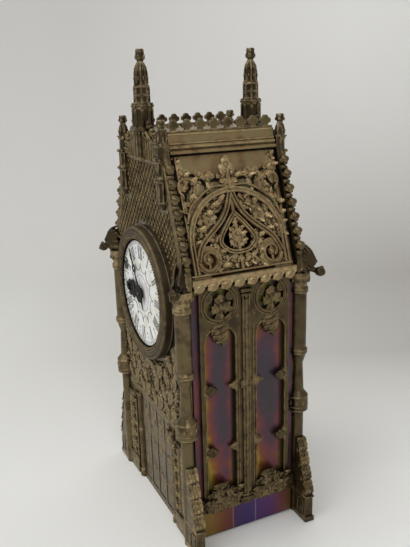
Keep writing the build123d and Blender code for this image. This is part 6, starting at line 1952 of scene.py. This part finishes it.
@dataclass
class RearDoorDress:
    """Rolls and leaf rosette on the round rear door."""

    face: float = 33.1
    rolls: Rows = ((26.4, 0.55), (21.0, 0.5), (6.4, 0.5))

    def build(self) -> None:
        """Model the rosette and the rolls, which swing with the door."""
        cast = Casting(wall_frame(Side.REAR, self.face))
        for radius, thick in self.rolls:
            cast.ring((0, DIAL_Z), radius, thick, 0.1, 72)
        for turn in round_angles(12):
            foot = polar(6.8, turn, 0.0, DIAL_Z)
            cast.stamp("leaf", foot, (8.0, 12.6, 4.0), math.degrees(turn) - 90, 2)
            cast.stamp("berry", polar(19.0, turn + 0.26, 0.3, DIAL_Z), 1.0)
        for step in range(8):
            cast.stamp("petal", (0, DIAL_Z, 0.1), (4.4, 5.6, 3.0), 45 * step)
        cast.ball((0, DIAL_Z, 0.6), (1.6, 1.6, 1.2), 12)
        for turn in round_angles(72):
            # the knob needs a gap in the row of dots
            if math.cos(turn) >= -0.86 or abs(math.sin(turn)) >= 0.2:
                cast.stamp("dot", polar(24.0, turn, 0.2, DIAL_Z), 0.75)
        cast.piece("rear_door_relief", SIDE_BRONZE, body="rear_door")


@dataclass(frozen=True)
class Wardrobe:
    """Finishes of the CAD nodes that stay in view."""

    worn: tuple[tuple[Finish, tuple[str, ...]], ...] = (
        (BRONZE, ("front_facade", "base_plate")),
        (SIDE_BRONZE, ("left_tracery", "right_tracery", "rear_facade", "rear_door", "door_hinge_pin")),
        (BEZEL_BRONZE, ("bezel",)),
        (ROOF_BRONZE, ("left_roof_panel", "right_roof_panel", "roof_deck")),
        (BLACK_STEEL, ("hour_hand", "minute_hand", "hand_nut")),
        (STEEL, ("tie_rods", "case_screws", "centre_arbor", "barrel_arbor", "mainspring", "hairspring")),
        (STEEL, ("click_spring", "pallet_lever", "escape_wheel", "ratchet_wheel", "click", "cannon_pinion")),
        (ENAMEL, ("dial",)),
        (HeatTint("left_heat_tint", Flank.LEFT), ("left_sheet",)),
        (HeatTint("right_heat_tint", Flank.RIGHT), ("right_sheet",)),
    )
    other: Finish = BRASS

    def dress(self) -> None:
        """Give every CAD node its finish."""
        finishes = {name: finish for finish, names in self.worn for name in names}
        for name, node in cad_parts.items():
            finish = finishes.get(name, self.other)
            if not node.material_slots:
                node.data.materials.append(None)
            for slot in node.material_slots:
                slot.material = finish.material()
            LOG.info("%s: %s", name, finish.name)


@dataclass(frozen=True)
class ViewCamera:
    """Camera at the photograph's viewing angle."""

    target: tuple[float, float, float] = (0.0, 0.0, 0.122)
    elevation: float = 16.523
    roll: float = -1.591
    distance: float = 0.36239
    shift: tuple[float, float] = (0.000728, 0.007173)
    lens: float = 43.84
    sensor: float = 36.0

    def build(self) -> None:
        """Set the camera in the scene."""
        turn, lift, lean = (math.radians(angle) for angle in (VIEW_AZIMUTH, self.elevation, self.roll))
        back = Vector((math.sin(turn) * math.cos(lift), -math.cos(turn) * math.cos(lift), math.sin(lift)))
        right = (-back).cross(Vector((0, 0, 1))).normalized()
        up = right.cross(-back)
        side = right * math.cos(lean) + up * math.sin(lean)
        rise = up * math.cos(lean) - right * math.sin(lean)
        place = Vector(self.target) + back * self.distance + side * self.shift[0] + rise * self.shift[1]
        data = bpy.data.cameras.new("view")
        data.sensor_fit = "VERTICAL"
        data.sensor_height = self.sensor
        data.lens = self.lens
        data.clip_start = 0.01
        camera = in_scene("view", data)
        camera.matrix_world = Matrix.Translation(place) @ Matrix((side, rise, back)).transposed().to_4x4()
        bpy.context.scene.camera = camera


@dataclass(frozen=True)
class Studio:
    """Pale seamless floor and backdrop with soft light from above, and paper that carries painted light and a
    painted shadow.
    """

    reach: float = 1.4
    back: float = 0.42
    bend: float = 0.4
    bend_steps: int = 12
    height: float = 1.6
    wide: float = 4.0
    # tones by depth paint the fall of light: on the left a little darker towards the top; on the right a dark
    # middle band paints the piece's soft shadow, and a bright near tone paints light over the lamps' shadow
    # on the floor
    stops: tuple[float, ...] = (0.08, 0.22, 0.4, 0.95)
    left_painted_light: tuple[Tone, ...] = ((220, 220, 217), (214, 214, 210), (208, 208, 204), (206, 204, 202))
    right_tones: tuple[Tone, ...] = ((248, 248, 245), (174, 171, 166), (172, 169, 164), (238, 238, 235))
    world_tone: tuple[float, ...] = (1.0, 0.99, 0.97, 1.0)
    world_level: float = 0.46
    # name, place, size and power of each lamp
    lamps: tuple[tuple[str, Point, float, float], ...] = (
        ("key", (-0.1, -0.6, 1.15), 1.2, 9.0),
        ("fill", (0.9, -0.2, 0.85), 0.4, 2.6),
        ("rear", (-0.6, 0.75, 0.7), 0.8, 1.8),
    )
    lamp_aim: tuple[float, float, float] = (0.0, 0.0, 0.12)

    def build(self) -> None:
        """Make the sweep, the world and the lamps."""
        self.sweep()
        self.world()
        for name, place, size, power in self.lamps:
            self.lamp(name, Vector(place), size, power)

    def sweep(self) -> None:
        """Make the floor that bends up into the backdrop."""
        profile = [(self.reach, 0.0), (0.0, 0.0), (-self.back, 0.0)]
        for step in range(1, self.bend_steps + 1):
            turn = math.radians(90 * step / self.bend_steps)
            profile.append((-self.back - self.bend * math.sin(turn), self.bend * (1 - math.cos(turn))))
        profile.append((-self.back - self.bend, self.height))
        turn = math.radians(VIEW_AZIMUTH)
        ahead = Vector((math.sin(turn), -math.cos(turn), 0))
        across = Vector((math.cos(turn), math.sin(turn), 0))
        start = across * (self.wide / 2)
        mesh = bmesh.new()
        verts = [mesh.verts.new(ahead * run - start + Vector((0, 0, rise))) for run, rise in profile]
        edges = [mesh.edges.new(pair) for pair in zip(verts, verts[1:])]
        made = bmesh.ops.extrude_edge_only(mesh, edges=edges)
        moved = [item for item in made["geom"] if isinstance(item, bmesh.types.BMVert)]
        bmesh.ops.translate(mesh, verts=moved, vec=across * self.wide)
        bmesh.ops.recalc_face_normals(mesh, faces=mesh.faces[:])
        data = meshed(mesh, "sweep")
        data.polygons.foreach_set("use_smooth", [True] * len(data.polygons))
        data.materials.append(self.paper(ahead, across))
        floor = in_scene("sweep", data)

    def paper(self, ahead: Vector, across: Vector) -> bpy.types.Material:
        """Lay out the paper of the sweep, whose tones paint light that changes with depth and from left to
        right, with a painted shadow on the right.

        Args:
            ahead: Direction towards the view.
            across: Direction across the view.

        Returns:
            The material.
        """
        pad = NodePad("studio_paper")
        sideways = pad.vector("DOT_PRODUCT", across)
        depth = pad.maths("SUBTRACT", pad.axis("Z"), pad.vector("DOT_PRODUCT", ahead))
        depth = pad.spread(depth, 0.0, 1.0, -0.1, 1.2)
        left = pad.tones(depth, zip(self.stops, self.left_painted_light))
        right = pad.tones(depth, zip(self.stops, self.right_tones))
        pad.surface(pad.mix(pad.spread(sideways, 0.0, 1.0, -0.2, 0.25), left, right), 0.85)
        return pad.material

    def world(self) -> None:
        """Set an even pale world."""
        world = bpy.data.worlds.new("pale")
        world.use_nodes = True
        backdrop = world.node_tree.nodes["Background"]
        backdrop.inputs["Color"].default_value = self.world_tone
        backdrop.inputs["Strength"].default_value = self.world_level
        bpy.context.scene.world = world

    def lamp(self, name: str, place: Vector, size: float, power: float) -> None:
        """Hang one soft lamp that looks at the middle of the piece.

        Args:
            name: Name of the lamp.
            place: Where it hangs, in metres.
            size: Width of its square.
            power: Its power in watts.
        """
        data = bpy.data.lights.new(name, "AREA")
        data.size = size
        data.energy = power
        aim = Vector(self.lamp_aim) - place
        lamp = in_scene(name, data)
        lamp.matrix_world = Matrix.Translation(place) @ aim.to_track_quat("-Z", "Y").to_matrix().to_4x4()


def main() -> None:
    """Build every piece of the timepiece and its studio in order."""
    logging.basicConfig(level=logging.INFO, format="%(message)s")
    bpy.context.scene.view_settings.view_transform = "Standard"
    ViewCamera().build()
    Studio().build()
    Wardrobe().dress()
    Motifs().build()
    for side in Side:
        WallDress(side).build()
        Spire(side).build()
        for flank in Flank:
            Pinnacle(side, flank=flank).build()
            Gargoyle(side, flank).build()
    for flank in Flank:
        TraceryDress(flank).build()
        RoofDress(flank).build()
        Cresting(flank).build()
    DialDress().build()
    HandDress().build()
    BezelDress().build()
    RearDoorDress().build()


if __name__ == "__main__":
    main()
